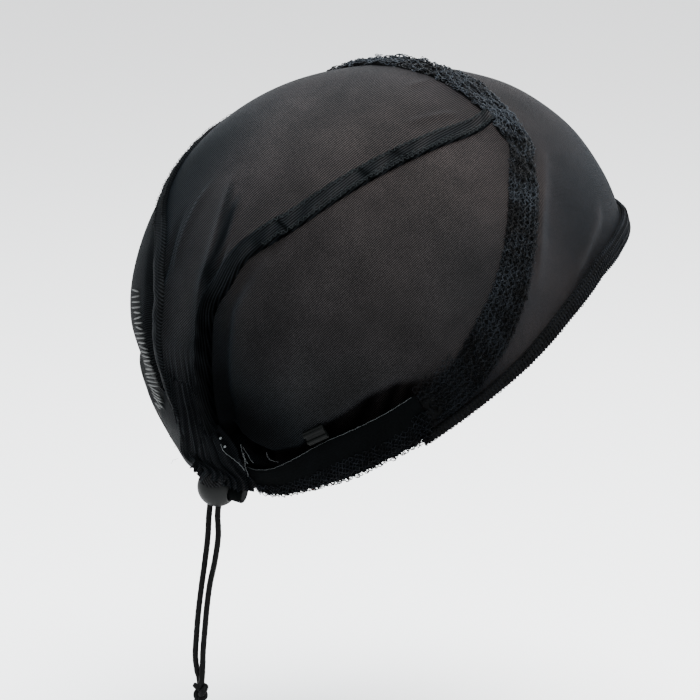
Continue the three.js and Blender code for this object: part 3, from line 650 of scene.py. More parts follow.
# %% Braided cord ends
# millimetres from the lock's centre, across, lengthwise and up
CORD_ROUTES = {
    "right": [
        (-2.37, -1.11, 5.6), (-1.34, -0.62, -0.3), (-0.21, -0.09, -6.67), (0.1, 0, -10), (-0.1, 0, -17),
        (0.8, 0.9, -26), (1.9, 2.1, -33.5), (2.6, 2.9, -41), (3.1, 3.5, -49), (3.5, 4.1, -57),
        (3.4, 4.5, -63), (3.3, 5.0, -67), (3.9, 4.9, -69.4),
    ],
    "left": [
        (0.3, 0.14, 6.2), (1.34, 0.62, 0.3), (2.46, 1.15, -6.1), (2.75, 1.5, -10), (3.0, 2.0, -18),
        (3.7, 2.9, -27), (4.5, 3.9, -36), (5.2, 4.6, -44), (5.7, 5.1, -52), (6.1, 5.3, -59),
        (6.0, 4.7, -64), (5.5, 4.2, -67), (4.9, 4.3, -69.4),
    ],
}
CORD_STEPS, CORD_SIDES = 360, 26
BRAID_STRANDS = 5
BRAID_PITCH = 0.0034
BRAID_RELIEF = 0.09


def braided(distance, angle, radius=CORD_DIAMETER / 2):
    """Radius of a round braid, with the ridges of strands that spiral both ways."""
    turn = 2 * np.pi * distance / BRAID_PITCH
    one, other = np.cos(BRAID_STRANDS * angle + turn), np.cos(BRAID_STRANDS * angle - turn)
    ridge = np.maximum(one * (1 + 0.3 * np.sin(BRAID_STRANDS * angle)), other)
    return radius * (1 + BRAID_RELIEF * (ridge - 1))


drawcords = {}
for label, route in CORD_ROUTES.items():
    path = smooth_path(lock_centre + np.array(route) / 1000, CORD_STEPS)
    rings, uv = tube(path, braided, CORD_SIDES)
    cord = dress(ring_piece(f"braided_cord_{label}", rings, uv), braid, [f"drawcord_{label}"])
    drawcords[label] = (cord, path)
    print(label, "cord end:", round(travelled(path)[-1], 4), "m long")

# %% [markdown]
# ## The knot
#
# Both cord ends go into one overhand knot, with two short tails below it. A real knot could be
# simulated until it pulls tight. At this size the turns are what shows, so the cord follows a trefoil,
# the plain mathematical form of an overhand knot, drawn in until its turns touch.

# %% Overhand knot and tails
KNOT_PLACE = np.array([0.0044, 0.0046, -0.0711])
KNOT_SIZE = 0.00088
KNOT_SIDES = 20
TAIL_REACH, TAIL_BEND = 0.00714, 0.0007
TAIL_LEAN = math.radians(20)

knot_centre = lock_centre + KNOT_PLACE
turn = np.linspace(0, 2 * np.pi, 160, endpoint=False)
trefoil = np.column_stack([np.sin(turn) + 2 * np.sin(2 * turn), -1.2 * np.sin(3 * turn),
                           np.cos(turn) - 2 * np.cos(2 * turn)])
loop = knot_centre + KNOT_SIZE * np.vstack([trefoil, trefoil[:1]])
rings, uv = tube(loop, braided, KNOT_SIDES)
knot_pieces = [ring_piece("cord_knot_turns", rings, uv)]
for side in (-1, 1):
    way = np.array([side * math.sin(TAIL_LEAN), 0.0, -math.cos(TAIL_LEAN)])
    reach = np.linspace(0.001, 1, 40)[:, None]
    bend = TAIL_BEND * np.sin(2.4 * reach) * np.array([0, 1, 0])
    rings, uv = tube(knot_centre + way * TAIL_REACH * reach + bend, braided, KNOT_SIDES)
    knot_pieces.append(ring_piece(f"cord_tail_{'right' if side < 0 else 'left'}", rings, uv))
for piece in knot_pieces:
    dress(piece, braid, ["cord_knot"])

for label, (cord, path) in drawcords.items():
    travelled(path)[-1]
print("knot at", np.round(knot_centre, 3))

# %% [markdown]
# ## Cord lock
#
# A ball lock is two mouldings with a spring between them: a hollow ball, and a button with a matching
# slot that grips the cords. The ball is turned from one profile with a softened rim round its bore.
# The slots are then cut through both with a rounded cutter, as the moulder's core pins form them.

# %% Ball and button
BUTTON_RADIUS, BUTTON_PROUD = 0.0032, 0.0033
BORE_RADIUS, BORE_END = 0.00345, 0.0054
SLOT_WIDTH, SLOT_END = 0.0027, 0.00285
BUTTON_INNER, BUTTON_TRAVEL = 0.00365, 0.0015
BORE_ROUND, BUTTON_ROUND, INNER_ROUND = 0.0005, 0.0006, 0.0002


def turned(name, profile, sides=72):
    """A solid turned round the press direction from (along, radius) pairs that start and end on it."""
    angle = np.linspace(0, 2 * np.pi, sides, endpoint=False)
    inside = np.array(profile[1:-1])
    along, radius = inside[:, :1] + 0 * angle, inside[:, 1:] * (1 + 0 * angle)
    rings = in_lock(np.stack([along, radius * np.cos(angle), radius * np.sin(angle)], axis=-1))
    piece = ring_piece(name, rings)
    tips = in_lock([(profile[0][0], 0, 0), (profile[-1][0], 0, 0)])
    for vertex, tip in zip(piece.data.vertices[-2:], tips):
        vertex.co = tip
    return piece


def slot_cutter(name, low, high):
    """A prism with round ends that cuts a cord slot through the lock."""
    radius, turn = SLOT_WIDTH / 2, np.linspace(-np.pi / 2, np.pi / 2, 17)
    far = np.column_stack([high - radius + radius * np.cos(turn), radius * np.sin(turn)])
    near = np.column_stack([low + radius - radius * np.cos(turn), -radius * np.sin(turn)])
    outline = np.vstack([far, near])
    reach = 2 * LOCK_RADIUS
    levels = [np.column_stack([outline, np.full(len(outline), z)]) for z in (-reach, reach)]
    return ring_piece(name, in_lock(np.array(levels)))


def cut_through(piece, cutter):
    """Cut one closed piece with another and remove the cutter."""
    cut = piece.modifiers.new("cut", "BOOLEAN")
    cut.object, cut.operation, cut.solver = cutter, "DIFFERENCE", "EXACT"
    bpy.context.view_layer.update()
    ready = bpy.data.meshes.new_from_object(piece.evaluated_get(bpy.context.evaluated_depsgraph_get()))
    piece.modifiers.clear()
    piece.data = ready
    ready.set_sharp_from_angle(angle=math.radians(35))
    bpy.data.objects.remove(cutter)
    return piece


def fillet(along, radius, size, start, end, steps=6):
    """Points on a rounded corner."""
    return [(along + size * math.cos(math.radians(a)), radius + size * math.sin(math.radians(a)))
            for a in np.linspace(start, end, steps)]


rim_radius = BORE_RADIUS + BORE_ROUND
rim_along = -math.sqrt((LOCK_RADIUS - BORE_ROUND) ** 2 - rim_radius**2)
rim_angle = math.degrees(math.atan2(rim_radius, rim_along))
sphere = [(LOCK_RADIUS * math.cos(math.radians(a)), LOCK_RADIUS * math.sin(math.radians(a)))
          for a in np.linspace(2, rim_angle, 40)]
ball_profile = [(LOCK_RADIUS, 0), *sphere, *fillet(rim_along, rim_radius, BORE_ROUND, rim_angle, 270, 8)[1:],
                (BORE_END, BORE_RADIUS), (BORE_END, 0)]
ball = cut_through(turned("lock_ball", ball_profile), slot_cutter("slot", -SLOT_END, SLOT_END))
dress(ball, plastic, ["cord_lock_body"])

outer_end = -(LOCK_RADIUS + BUTTON_PROUD)
button_profile = [
    (outer_end, 0), (outer_end, BUTTON_RADIUS - 2.2 * BUTTON_ROUND),
    *fillet(outer_end + BUTTON_ROUND, BUTTON_RADIUS - BUTTON_ROUND, BUTTON_ROUND, 180, 90),
    (BUTTON_INNER - INNER_ROUND, BUTTON_RADIUS), (BUTTON_INNER, BUTTON_RADIUS - INNER_ROUND),
    (BUTTON_INNER, 0)]
button = cut_through(turned("lock_button", button_profile),
                     slot_cutter("slot", -SLOT_END - BUTTON_TRAVEL, SLOT_END))
dress(button, button_plastic, ["cord_lock_plunger"], body="button")
print("ball faces:", len(ball.data.polygons), "button faces:", len(button.data.polygons))

# %% [markdown]
# ## Seam lines
#
# Four mesh panels meet along the lace that runs from ear to ear and along two seams down the back. A
# tailor draws those lines first, and so does this cell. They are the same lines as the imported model's,
# drawn with more steps, so that the fine cloth follows the plain solids underneath.

# %% Lines that the panels share
SEAM_GAP = 0.0006
CORNER_CUT = 0.0015
LACE_WIDTH = 0.018
HEM_WIDTH, HEM_RAISE = 0.0065, 0.36
EAR_GAP = 0.0019
RIM_START, RIM_END, RIM_LACE_HEIGHT = 123.2, 167, 0.013

# places as shares, then widths and heights as shares too, by the way along or the angle from the face
CROWN_LACE_ROWS = [(0, -0.095, 0.003), (0.29, -0.112, 0.022), (0.46, -0.12, 0.06), (0.575, -0.12, 0.095)]
SIDE_LACE_ROWS = [
    (0.575, -0.12, 0.095), (0.75, -0.095, 0.183), (0.92, 0.026, 0.353), (0.975, 0.121, 0.479),
    (0.978, 0.20, 0.564), (0.95, 0.32, 0.674),
]
TAIL_LACE_ROWS = [(0.95, 0.32, 0.674), (0.92, 0.38, 0.712)]
PANEL_FOOT_ROWS = [(0.26, 0.845, 0.885), (0.17, 0.87, 0.866), (0.10, 0.88, 0.87)]
LACE_WIDTH_ROWS = [(0, 0.8), (0.18, 0.84), (0.3, 0.64), (0.45, 0.7), (0.62, 0.78), (0.8, 0.9), (1, 0.76)]
HEM_WIDTH_ROWS = [(0, 1), (60, 1), (85, 0.78), (105, 0.55), (123, 0.45)]
RIM_LACE_ROWS = [(123, 0.9), (135, 0.92), (150, 0.76), (160, 0.6), (167, 0.45)]
CROWN_STEPS, SIDE_STEPS, TAIL_STEPS, SEAM_STEPS, NAPE_STEPS = 40, 92, 20, 100, 21


def joined(*paths):
    """Paths that meet end to end, as one."""
    return np.vstack([paths[0]] + [path[1:] for path in paths[1:]])


def edge(start, end, steps, spread=None):
    """Steps along a straight line."""
    share = np.linspace(0, 1, steps + 1)[:, None]
    share = spread(share) if spread else share
    return start + (end - start) * share


def hem_width(angle):
    """The hem narrows towards the ears."""
    return HEM_WIDTH * from_table(HEM_WIDTH_ROWS, np.abs(angle))


def lace_end(side):
    """Where the lace ends behind the ear, just above the hem."""
    raised = LACE_WIDTH * LACE_WIDTH_ROWS[-1][1] / 2 + (0.5 + HEM_RAISE) * hem_width(RIM_START) + EAR_GAP
    return rim_point(np.float64(side * RIM_START), raised)


def lace_tail(side):
    """The lace's last stretch, behind the ear."""
    return smooth_path(np.vstack([from_shares(TAIL_LACE_ROWS, side), lace_end(side)]), TAIL_STEPS)


def half_lace(side):
    """The lace from the top of the crown to one ear."""
    return joined(smooth_path(from_shares(CROWN_LACE_ROWS, side), CROWN_STEPS),
                  smooth_path(from_shares(SIDE_LACE_ROWS, side), SIDE_STEPS), lace_tail(side))


def seam_line(side, distance, cut=0.0):
    """A back seam moved away from the middle of the back."""
    line = joined(smooth_path(from_shares(BACK_SEAM_ROWS, side), SEAM_STEPS, cut),
                  smooth_path(from_shares(NAPE_SEAM_ROWS, side), NAPE_STEPS))
    return moved(line, -side * distance)


def rim_lace_top(angle, side, raised=0.0):
    """A point on the upper edge of the lace along the lower rim."""
    return rim_point(side * angle, RIM_LACE_HEIGHT * from_table(RIM_LACE_ROWS, angle) + raised)


lace_line = joined(half_lace(-1)[::-1], half_lace(1))
print("lace line:", round(travelled(lace_line)[-1], 3), "m over the crown")

# %% [markdown]
# ## Small creases
#
# Besides the deep folds, thin cloth shows fine ones: a pleat laid over at the back of the crown, soft
# lines that run off the lace's corner, and slack beside the seams. Each is drawn as a line on the
# head, with a height, a width on either side and a fade towards its ends. A narrow side and a wide one
# make a pleat with an edge; equal sides make a soft fold. Those of the left side mirror the right ones
# with small changes, as that side is mostly unseen.

# %% Creases
# side, height and the widths left and right of the line in mm, then places as shares
CREASES = [
    # pleats pinched at the back, and the groove beside each seam
    (-1, 1.1, 0.5, 2.6,
     [(0.025, 0.74, 0.198), (0.083, 0.831, 0.272), (0.113, 0.912, 0.362), (0.111, 0.955, 0.432),
      (0.103, 0.979, 0.484), (0.09, 1.0, 0.56)]),
    (-1, 1.0, 0.5, 1.9,
     [(0.141, 0.80, 0.245), (0.160, 0.85, 0.29), (0.175, 0.89, 0.345), (0.154, 0.933, 0.402),
      (0.127, 0.967, 0.454), (0.115, 0.99, 0.51)]),
    (-1, -1.6, 1.6, 1.2,
     [(0.138, 0.824, 0.269), (0.161, 0.914, 0.371), (0.163, 0.985, 0.49), (0.148, 1.0, 0.637),
      (0.13, 0.98, 0.734), (0.10, 0.94, 0.83)]),
    (1, -1.4, 1.3, 1.6,
     [(0.16, 0.83, 0.28), (0.17, 0.914, 0.375), (0.163, 0.985, 0.50), (0.15, 1.0, 0.64),
      (0.13, 0.98, 0.74), (0.10, 0.94, 0.83)]),
    (1, 0.8, 2.4, 0.6,
     [(0.06, 0.76, 0.215), (0.10, 0.85, 0.30), (0.11, 0.93, 0.39), (0.10, 0.97, 0.47)]),
    # soft creases off the lace
    (-1, 0.8, 1.0, 1.5,
     [(0.50, 0.30, 0.10), (0.527, 0.241, 0.092), (0.55, 0.131, 0.083), (0.564, 0.028, 0.08)]),
    (-1, 0.6, 1.2, 1.2,
     [(0.34, 0.13, 0.027), (0.329, 0.092, 0.023), (0.32, 0.026, 0.017), (0.307, -0.042, 0.014)]),
    (1, 0.4, 1.6, 1.3,
     [(0.48, 0.32, 0.105), (0.52, 0.24, 0.093), (0.55, 0.12, 0.083), (0.564, 0.02, 0.08)]),
    # slack before the lace and over the temple
    (-1, 0.6, 2.6, 1.6,
     [(0.70, -0.30, 0.15), (0.755, -0.246, 0.182), (0.9, -0.116, 0.302), (0.98, -0.033, 0.437),
      (0.99, 0.02, 0.55)]),
    (-1, 0.6, 1.8, 2.6,
     [(0.82, -0.52, 0.31), (0.88, -0.434, 0.376), (0.94, -0.327, 0.428), (0.99, -0.215, 0.49),
      (1.0, -0.14, 0.536)]),
    (1, 0.35, 2.0, 3.0,
     [(0.70, -0.28, 0.15), (0.77, -0.22, 0.19), (0.9, -0.12, 0.30), (0.985, -0.03, 0.45)]),
    (1, 0.3, 3.0, 2.2,
     [(0.80, -0.54, 0.30), (0.88, -0.43, 0.38), (0.94, -0.32, 0.43), (1.0, -0.18, 0.51)]),
    # drags from the ear to the nape, and into the groove
    (-1, 0.55, 2.0, 4.0,
     [(0.93, 0.42, 0.62), (0.86, 0.55, 0.63), (0.76, 0.67, 0.66), (0.66, 0.76, 0.71)]),
    (-1, 0.7, 1.6, 3.0,
     [(0.62, 0.78, 0.755), (0.50, 0.835, 0.80), (0.38, 0.86, 0.835), (0.27, 0.865, 0.86)]),
    (-1, -0.7, 2.2, 2.2,
     [(0.34, 0.93, 0.70), (0.27, 0.94, 0.735), (0.235, 0.925, 0.775), (0.24, 0.89, 0.81)]),
    (1, 0.55, 4.0, 2.0,
     [(0.93, 0.42, 0.61), (0.85, 0.56, 0.63), (0.74, 0.69, 0.665), (0.64, 0.77, 0.72)]),
    (1, 0.7, 3.0, 1.6,
     [(0.60, 0.79, 0.76), (0.48, 0.84, 0.805), (0.36, 0.865, 0.84), (0.27, 0.865, 0.86)]),
]


def near_line(points, line):
    """For each point: signed distance to a line on the head, and the share along it."""
    best = np.full(len(points), 1e9)
    signed, share = np.zeros(len(points)), np.zeros(len(points))
    distance = travelled(line)
    for k, (a, b) in enumerate(zip(line, line[1:])):
        way = (b - a) / np.linalg.norm(b - a)
        along = np.clip((points - a) @ way, 0, np.linalg.norm(b - a))
        gap = points - a - along[:, None] * way
        far = np.linalg.norm(gap, axis=1)
        right = np.cross(way, unit((a + b) / 2 - CENTRE))
        nearer = far < best
        best[nearer] = far[nearer]
        signed[nearer] = (far * np.sign(gap @ right))[nearer]
        share[nearer] = (distance[k] + along[nearer]) / distance[-1]
    return signed, share


def crease_height(points):
    """Height of all small creases at points on the plain form."""
    height = np.zeros(len(points))
    for side, rise, left, right, rows in CREASES:
        line = smooth_path(bare_head(from_shares(rows, side))[1], 16)
        close = np.linalg.norm(points - line.mean(axis=0), axis=1) < travelled(line)[-1]
        signed, share = near_line(points[close], line)
        width = np.where(signed < 0, left, right) / 1000
        fade = smooth_step(0, 0.3, share) * smooth_step(0, 0.3, 1 - share)
        height[close] += rise / 1000 * fade * np.exp(-((signed / width) ** 2))
    return height


def slack(points):
    """Very slight long waves, so that no panel is perfectly smooth."""
    x, y, z = (points - CENTRE).T * 1000
    return 0.00016 * (np.sin(x / 9 + 1.3 * np.sin(z / 14)) * np.sin(y / 11 + z / 17)
                      + 0.6 * np.sin(z / 5.5 + x / 13 + y / 8))


print("creases:", len(CREASES))

# %% [markdown]
# ## Mesh panels
#
# A panel between four seams is a patch that blends its edges, which is how stretched cloth settles
# between lines that hold it. Cloth is cut flat, so its threads run straight over a panel, and texture
# coordinates that follow the patch would bend them with its edges. The back and side panels therefore
# take theirs from a plane that lies against the panel, and go on evenly round the head where it turns
# away from that plane.

# %% Patches between seams
def patch_between(start, end, left, right, spread=None):
    """A grid that blends four edges: its rows run from start to end, its columns from left to right."""
    down = np.linspace(0, 1, len(left))[:, None, None]
    across = np.linspace(0, 1, len(start))[None, :, None]
    across = spread(across) if spread else across
    ruled = start * (1 - down) + end * down + left[:, None] * (1 - across) + right[:, None] * across
    corners = ((start[0] * (1 - across) + start[-1] * across) * (1 - down)
               + (end[0] * (1 - across) + end[-1] * across) * down)
    return ruled - corners


def grid_uv(grid):
    """Texture coordinates in metres, measured along the rows from the middle and down the middle."""
    steps = np.linalg.norm(np.diff(grid, axis=1), axis=2)
    across = np.concatenate([np.zeros((len(grid), 1)), np.cumsum(steps, axis=1)], axis=1)
    middle = grid.shape[1] // 2
    down = travelled(grid[:, middle])
    return np.stack([across - across[:, middle:middle + 1], -down[:, None] + 0 * across], axis=-1)


CUT_TURN = 88
# the azimuth and elevation that a panel's plane faces, and how closely its threads lie
FLAT_LAYS = {
    "back_panel": (222, 14, 1.2), "side_panel_right": (226, 10, 1.38), "side_panel_left": (134, 10, 1.38),
}
FLAT_TO = math.radians(55)


def cut_at(uv, turn):
    """Texture coordinates turned, as cloth is laid askew before it is cut."""
    c, s = math.cos(math.radians(turn)), math.sin(math.radians(turn))
    return uv @ np.array([[c, -s], [s, c]])


def laid_flat(places, azimuth, elevation, closeness):
    """Texture coordinates on a plane that faces this way. Past FLAT_TO they go on evenly round the
    head."""
    turn, rise = math.radians(azimuth), math.radians(elevation)
    across = np.array([math.cos(turn), math.sin(turn), 0])
    out = np.array([math.sin(turn) * math.cos(rise), -math.cos(turn) * math.cos(rise), math.sin(rise)])
    spoke = places - CENTRE
    flat = np.stack([spoke @ across, spoke @ np.cross(out, across)], axis=-1)
    away = np.arctan2(np.linalg.norm(flat, axis=-1), spoke @ out)
    past = np.maximum(away - FLAT_TO, 0)
    beyond = (math.sin(FLAT_TO) + past * math.cos(FLAT_TO)) / np.maximum(np.sin(away), 0.1)
    return closeness * flat * np.where(past > 0, beyond, 1)[..., None]


print("panels laid flat:", ", ".join(FLAT_LAYS))

# %% [markdown]
# ### Shade in sheer cloth
#
# What lies behind sheer mesh changes how light it looks, and so does the light falling on it. Real
# transparency would need the hidden layers to be right as well, so shade is painted into the cloth
# instead: a value at each point holds it, and the mesh material reads it. The painted shade is dark low
# down, to the rear, at the crown, on the left of the back, in front of the lace, in the tuck above the
# strap, in the grooves and where layers are bunched, and painted light lies on two slack folds.

# %% Shade and warmth of the cloth
# centre of each pool of shadow in mm, its reach in mm and how dark it is
SHADOWS = [
    ((-15, 87, -104), 15, 0.64), ((-21, 83, -112), 14, 0.7), ((-72, 24, -62), 24, 0.25),
    ((-13, 91, -92), 9, 0.55), ((-34, 75, -117), 12, 0.55), ((15, 87, -105), 12, 0.3),
    ((-13, 91, -80), 8, 0.5), ((-12, 90, -69), 6.5, 0.5), ((-10, 88, -60), 5, 0.35),
]
# lines of shadow beside pleats, and of light on slack folds where it is below 0: side, reach in mm, how
# dark, then shares as for creases
SHADOW_LINES = [
    (-1, 1.5, 0.75, [(0.118, 0.80, 0.25), (0.142, 0.86, 0.31), (0.143, 0.915, 0.375),
                     (0.127, 0.955, 0.43), (0.118, 0.985, 0.49)]),
    (-1, 2.2, 0.55, [(0.155, 0.93, 0.41), (0.152, 0.975, 0.48), (0.162, 1.0, 0.58), (0.16, 1.0, 0.66)]),
    (-1, 1.0, 0.5, [(0.04, 0.76, 0.22), (0.10, 0.85, 0.29), (0.13, 0.915, 0.36), (0.128, 0.95, 0.42)]),
    (-1, 2.6, -0.35, [(0.70, -0.30, 0.15), (0.755, -0.246, 0.182), (0.9, -0.116, 0.302),
                      (0.98, -0.033, 0.437)]),
    (-1, 2.0, -0.6, [(0.82, -0.52, 0.31), (0.88, -0.434, 0.376), (0.94, -0.327, 0.428),
                     (0.99, -0.215, 0.49)]),
]
# how much painted shade darkens the cloth at its darkest: low down, to the rear, at the crown, on the
# left of the back, in front of the lace and in the tuck, where painted wrinkles vary it
LOW_SHADE, REAR_SHADE, CROWN_SHADE, LEFT_SHADE, FRONT_SHADE = 0.3, 0.2, 0.14, 0.7, 0.5
TUCK_SHADE, WRINKLE_SHADE = 0.79, 0.11
TUCK_FROM, TUCK_TO = 0.0002, 0.0030


def cloth_shade(bare, tuck):
    """The painted shade of the cloth at places on the plain form, where it hangs back by a tuck."""
    drop = -bare[..., 2] / NAPE_DROP
    behind, aside = bare[..., 1] / BACK_LENGTH, bare[..., 0] / HALF_BREADTH
    shade = 1 - LOW_SHADE * smooth_step(0.25, 0.95, drop) - REAR_SHADE * smooth_step(0.2, 0.9, behind)
    shade = shade * (1 - CROWN_SHADE * (1 - smooth_step(0.0, 0.13, drop)))
    shade = shade * (1 - LEFT_SHADE * smooth_step(-0.08, 0.4, aside) * smooth_step(0.3, 0.7, behind))
    shade = shade * (1 - FRONT_SHADE * smooth_step(0.03, 0.33, drop) * (1 - smooth_step(-0.3, 0.1, behind)))
    turn = np.degrees(np.arctan2(bare[..., 0], -bare[..., 1]))
    wrinkle = np.sin(1.3 * turn + 45 * drop + 2 * np.sin(turn / 5))
    shade = shade * (1 - (TUCK_SHADE - WRINKLE_SHADE * wrinkle) * smooth_step(TUCK_FROM, TUCK_TO, tuck))
    for centre, reach, depth in SHADOWS:
        distance = np.linalg.norm(bare * 1000 - np.array(centre), axis=-1)
        shade = shade * (1 - depth * np.exp(-((distance / reach) ** 2)))
    flat = bare.reshape(-1, 3)
    for side, reach, depth, rows in SHADOW_LINES:
        line = smooth_path(bare_head(from_shares(rows, side))[1], 12)
        distance, share = near_line(flat, line)
        fade = smooth_step(0, 0.25, share) * smooth_step(0, 0.25, 1 - share)
        shade = shade * (1 - depth * fade * np.exp(-((distance * 1000 / reach) ** 2))).reshape(shade.shape)
    return shade


def cloth_warmth(name, bare, tuck):
    """How much browner than its shade the cloth is: low in front, and in the tucks."""
    if name == "front_panel":
        return 0.4 * smooth_step(0.1, 0.5, -bare[..., 2] / NAPE_DROP)
    return 0.7 * smooth_step(TUCK_FROM, TUCK_TO, tuck)


print("pools of shadow:", len(SHADOWS), "lines:", len(SHADOW_LINES))

# %% [markdown]
# ### The four panels
#
# Each patch is laid on the head form and lifted by its folds and creases. The cloth is drawn a little
# under half a millimetre thick, closed at its edges. Columns crowd towards the back seams, because the
# grooves there are the finest shapes.

# %% Front, back and side panels
CLOTH_OUTSIDE, CLOTH_THICKNESS = 0.0009, 0.00045
FOOT_START, FOOT_END = 124, 158
FRONT_ROWS, SIDE_COLUMNS = 72, 110


def panel(name, grid):
    """A mesh panel over a grid of places, with its folds and creases."""
    direction, bare = bare_head(grid)
    flat = bare.reshape(-1, 3)
    tuck = tuck_depth(bare)
    height = fold_height(bare) - tuck + (crease_height(flat) + slack(flat)).reshape(tuck.shape)
    outer = drawn_in(bare + direction * (height + CLOTH_OUTSIDE)[..., None])
    inner = drawn_in(bare + direction * (height + CLOTH_OUTSIDE - CLOTH_THICKNESS)[..., None])
    uv = laid_flat(outer, *FLAT_LAYS[name]) if name in FLAT_LAYS else grid_uv(outer)
    # the cloth carries its painted shade and warmth as values at its points
    piece = sheet_piece(f"mesh_{name}", outer, inner, cut_at(uv, CUT_TURN),
                        shade=cloth_shade(bare, tuck), warmth=cloth_warmth(name, bare, tuck))
    sides_of = np.cross(outer[1:, :-1] - outer[:-1, :-1], outer[:-1, 1:] - outer[:-1, :-1])
    area = np.linalg.norm(sides_of, axis=2).sum()
    dress(piece, mesh_cloth, [name])
    return piece, area, outer


def towards_seam(share):
    """Columns crowd towards the back seam, where the groove is."""
    return 1 - (1 - share) ** 1.5


panels = {}
front_edge = moved(lace_line, SEAM_GAP / 2)
front_rim = rim_point(np.linspace(-RIM_START, RIM_START, len(lace_line)))
panels["front_panel"] = panel("front_panel", patch_between(
    front_edge, front_rim, edge(front_edge[0], front_rim[0], FRONT_ROWS),
    edge(front_edge[-1], front_rim[-1], FRONT_ROWS)))

crown_half = smooth_path(from_shares(CROWN_LACE_ROWS, -1), CROWN_STEPS)
crown_edge = moved(joined(crown_half[::-1], smooth_path(from_shares(CROWN_LACE_ROWS, 1), CROWN_STEPS)),
                   -SEAM_GAP / 2)
back_right, back_left = seam_line(-1, SEAM_GAP / 2), seam_line(1, SEAM_GAP / 2)
back_right[0], back_left[0] = crown_edge[0], crown_edge[-1]
panels["back_panel"] = panel("back_panel", patch_between(
    crown_edge, edge(back_right[-1], back_left[-1], 2 * CROWN_STEPS), back_right, back_left))

for label, side in SIDES:
    front = moved(joined(smooth_path(from_shares(SIDE_LACE_ROWS, side), SEAM_STEPS, CORNER_CUT),
                         smooth_path(np.vstack([from_shares(TAIL_LACE_ROWS, side), lace_end(side)]),
                                     NAPE_STEPS)), -side * SEAM_GAP / 2)
    rear = seam_line(side, -SEAM_GAP / 2, CORNER_CUT)
    foot = rim_lace_top(np.linspace(FOOT_START, FOOT_END, 10), side, SEAM_GAP)
    foot_curve = spline(np.vstack([foot, from_shares(PANEL_FOOT_ROWS, side)]))
    foot_length = travelled(foot_curve)[-1]
    share = towards_seam(np.linspace(0, 1, SIDE_COLUMNS + 1)) * (1 - SEAM_GAP / 2 / foot_length)
    lower = evenly(foot_curve, share)
    front[-1], lower[-1] = lower[0], rear[-1]
    upper = edge(front[0], rear[0], SIDE_COLUMNS, towards_seam)
    name = f"side_panel_{label}"
    panels[name] = panel(name, patch_between(upper, lower, front, rear, towards_seam))

for name, (piece, area, outer) in panels.items():
    print(f"{name}: {len(piece.data.polygons)} faces, {area:.4f} m2")

# %% [markdown]
# ## Flat bands
#
# Lace, straps and seam tapes are all bands laid along a line on the cap. One helper makes them: at each
# step along the line it goes out over the band's top and back underneath. The height of the top may
# change along and across, which gives ribs, steps and ruched parts without extra pieces.

# %% A band along a line
def band_piece(name, line, width, low, high, across=20, rounding=0.5, relief=None, tone_and_shade=None, turn=0):
    """A closed band on the cloth. Widths and heights may be numbers or one value for each step."""
    share = np.linspace(-0.5, 0.5, across + 1)
    distance = travelled(line)
    width, low, high = (np.broadcast_to(value, len(line)) for value in (width, low, high))
    top, under, flat, shades = [], [], [], []
    for a in share:
        place = moved(line, a * width)
        height = low + (high - low) * (1 - rounding * abs(2 * a) ** 6)
        if relief:
            height = height + relief(distance, a)
        top.append(on_cap(place, height))
        under.append(on_cap(place, low))
        flat.append(np.column_stack([distance, a * width]))
        # painted shade: each band's tone is multiplied by the cloth's painted shade
        if tone_and_shade:
            shades.append(tone_and_shade(distance, a) * cloth_shade(bare_head(place)[1], 0.0))
    rings = np.stack(top + under[::-1], axis=1)
    uv = cut_at(np.stack(flat + flat[::-1], axis=1), turn)
    values = {"shade": np.stack(shades + shades[::-1], axis=1)} if tone_and_shade else {}
    return ring_piece(name, rings, uv, **values)


def directions(line):
    """Unit directions across a line on the cloth and out of the cloth."""
    out = on_form(line)[0]
    return unit(np.cross(np.gradient(line, axis=0), out)), out


print("band helper ready")

# %% [markdown]
# ## Yarn and loops with Geometry Nodes
#
# Lace is hundreds of the same stitch, each a little different. Drawing the yarn by hand or in a list
# would fix every stitch; a node tree keeps the rule instead. Every tree here starts from plain lines
# laid on the cap, whose points carry the directions across the line and out of the cloth. These
# helpers make a tree, turn things to those directions, and hand out plain geometry at the end.

# %% Helpers for geometry trees
def new_tree(name, *sockets):
    """A geometry tree with named inputs. Returns the tree, its inputs and a field from the carrier."""
    tree = bpy.data.node_groups.new(name, "GeometryNodeTree")
    tree.interface.new_socket("Geometry", in_out="INPUT", socket_type="NodeSocketGeometry")
    for label, kind in sockets:
        tree.interface.new_socket(label, in_out="INPUT", socket_type=f"NodeSocket{kind}")
    tree.interface.new_socket("Geometry", in_out="OUTPUT", socket_type="NodeSocketGeometry")
    entry = wire(tree, "NodeGroupInput")

    def field(label, kind="FLOAT"):
        return wire(tree, "GeometryNodeInputNamedAttribute", {"Name": label}, data_type=kind)
    return tree, {output.name: output for output in entry.outputs}, field


def added(tree, *vectors):
    """The sum of vectors."""
    total = vectors[0]
    for vector in vectors[1:]:
        total = wire(tree, "ShaderNodeVectorMath", {0: total, 1: vector}, operation="ADD")
    return total


def give_out(tree, geometry, material):
    """Smooth shading, realised instances, the material, and the tree's output."""
    real = wire(tree, "GeometryNodeRealizeInstances", {0: geometry})
    smooth = wire(tree, "GeometryNodeSetShadeSmooth", {0: real})
    painted = wire(tree, "GeometryNodeSetMaterial", {0: smooth, "Material": material})
    wire(tree, "NodeGroupOutput", {0: painted})


def random_vector(tree, low, high, seed):
    """A random vector for each point, between two vectors."""
    return wire(tree, "FunctionNodeRandomValue", {"Min": low, "Max": high, "Seed": seed},
                data_type="FLOAT_VECTOR")


def faced(tree, field, turn):
    """A rotation that follows the cap and the line on it, then turns on by Euler angles."""
    facing = wire(tree, "FunctionNodeAxesToRotation", {
        "Primary Axis": field("out", "FLOAT_VECTOR"), "Secondary Axis": field("across", "FLOAT_VECTOR")})
    turned_by = wire(tree, "FunctionNodeEulerToRotation", {0: turn})
    return wire(tree, "FunctionNodeRotateRotation", {0: facing, 1: turned_by},
                rotation_space="LOCAL")


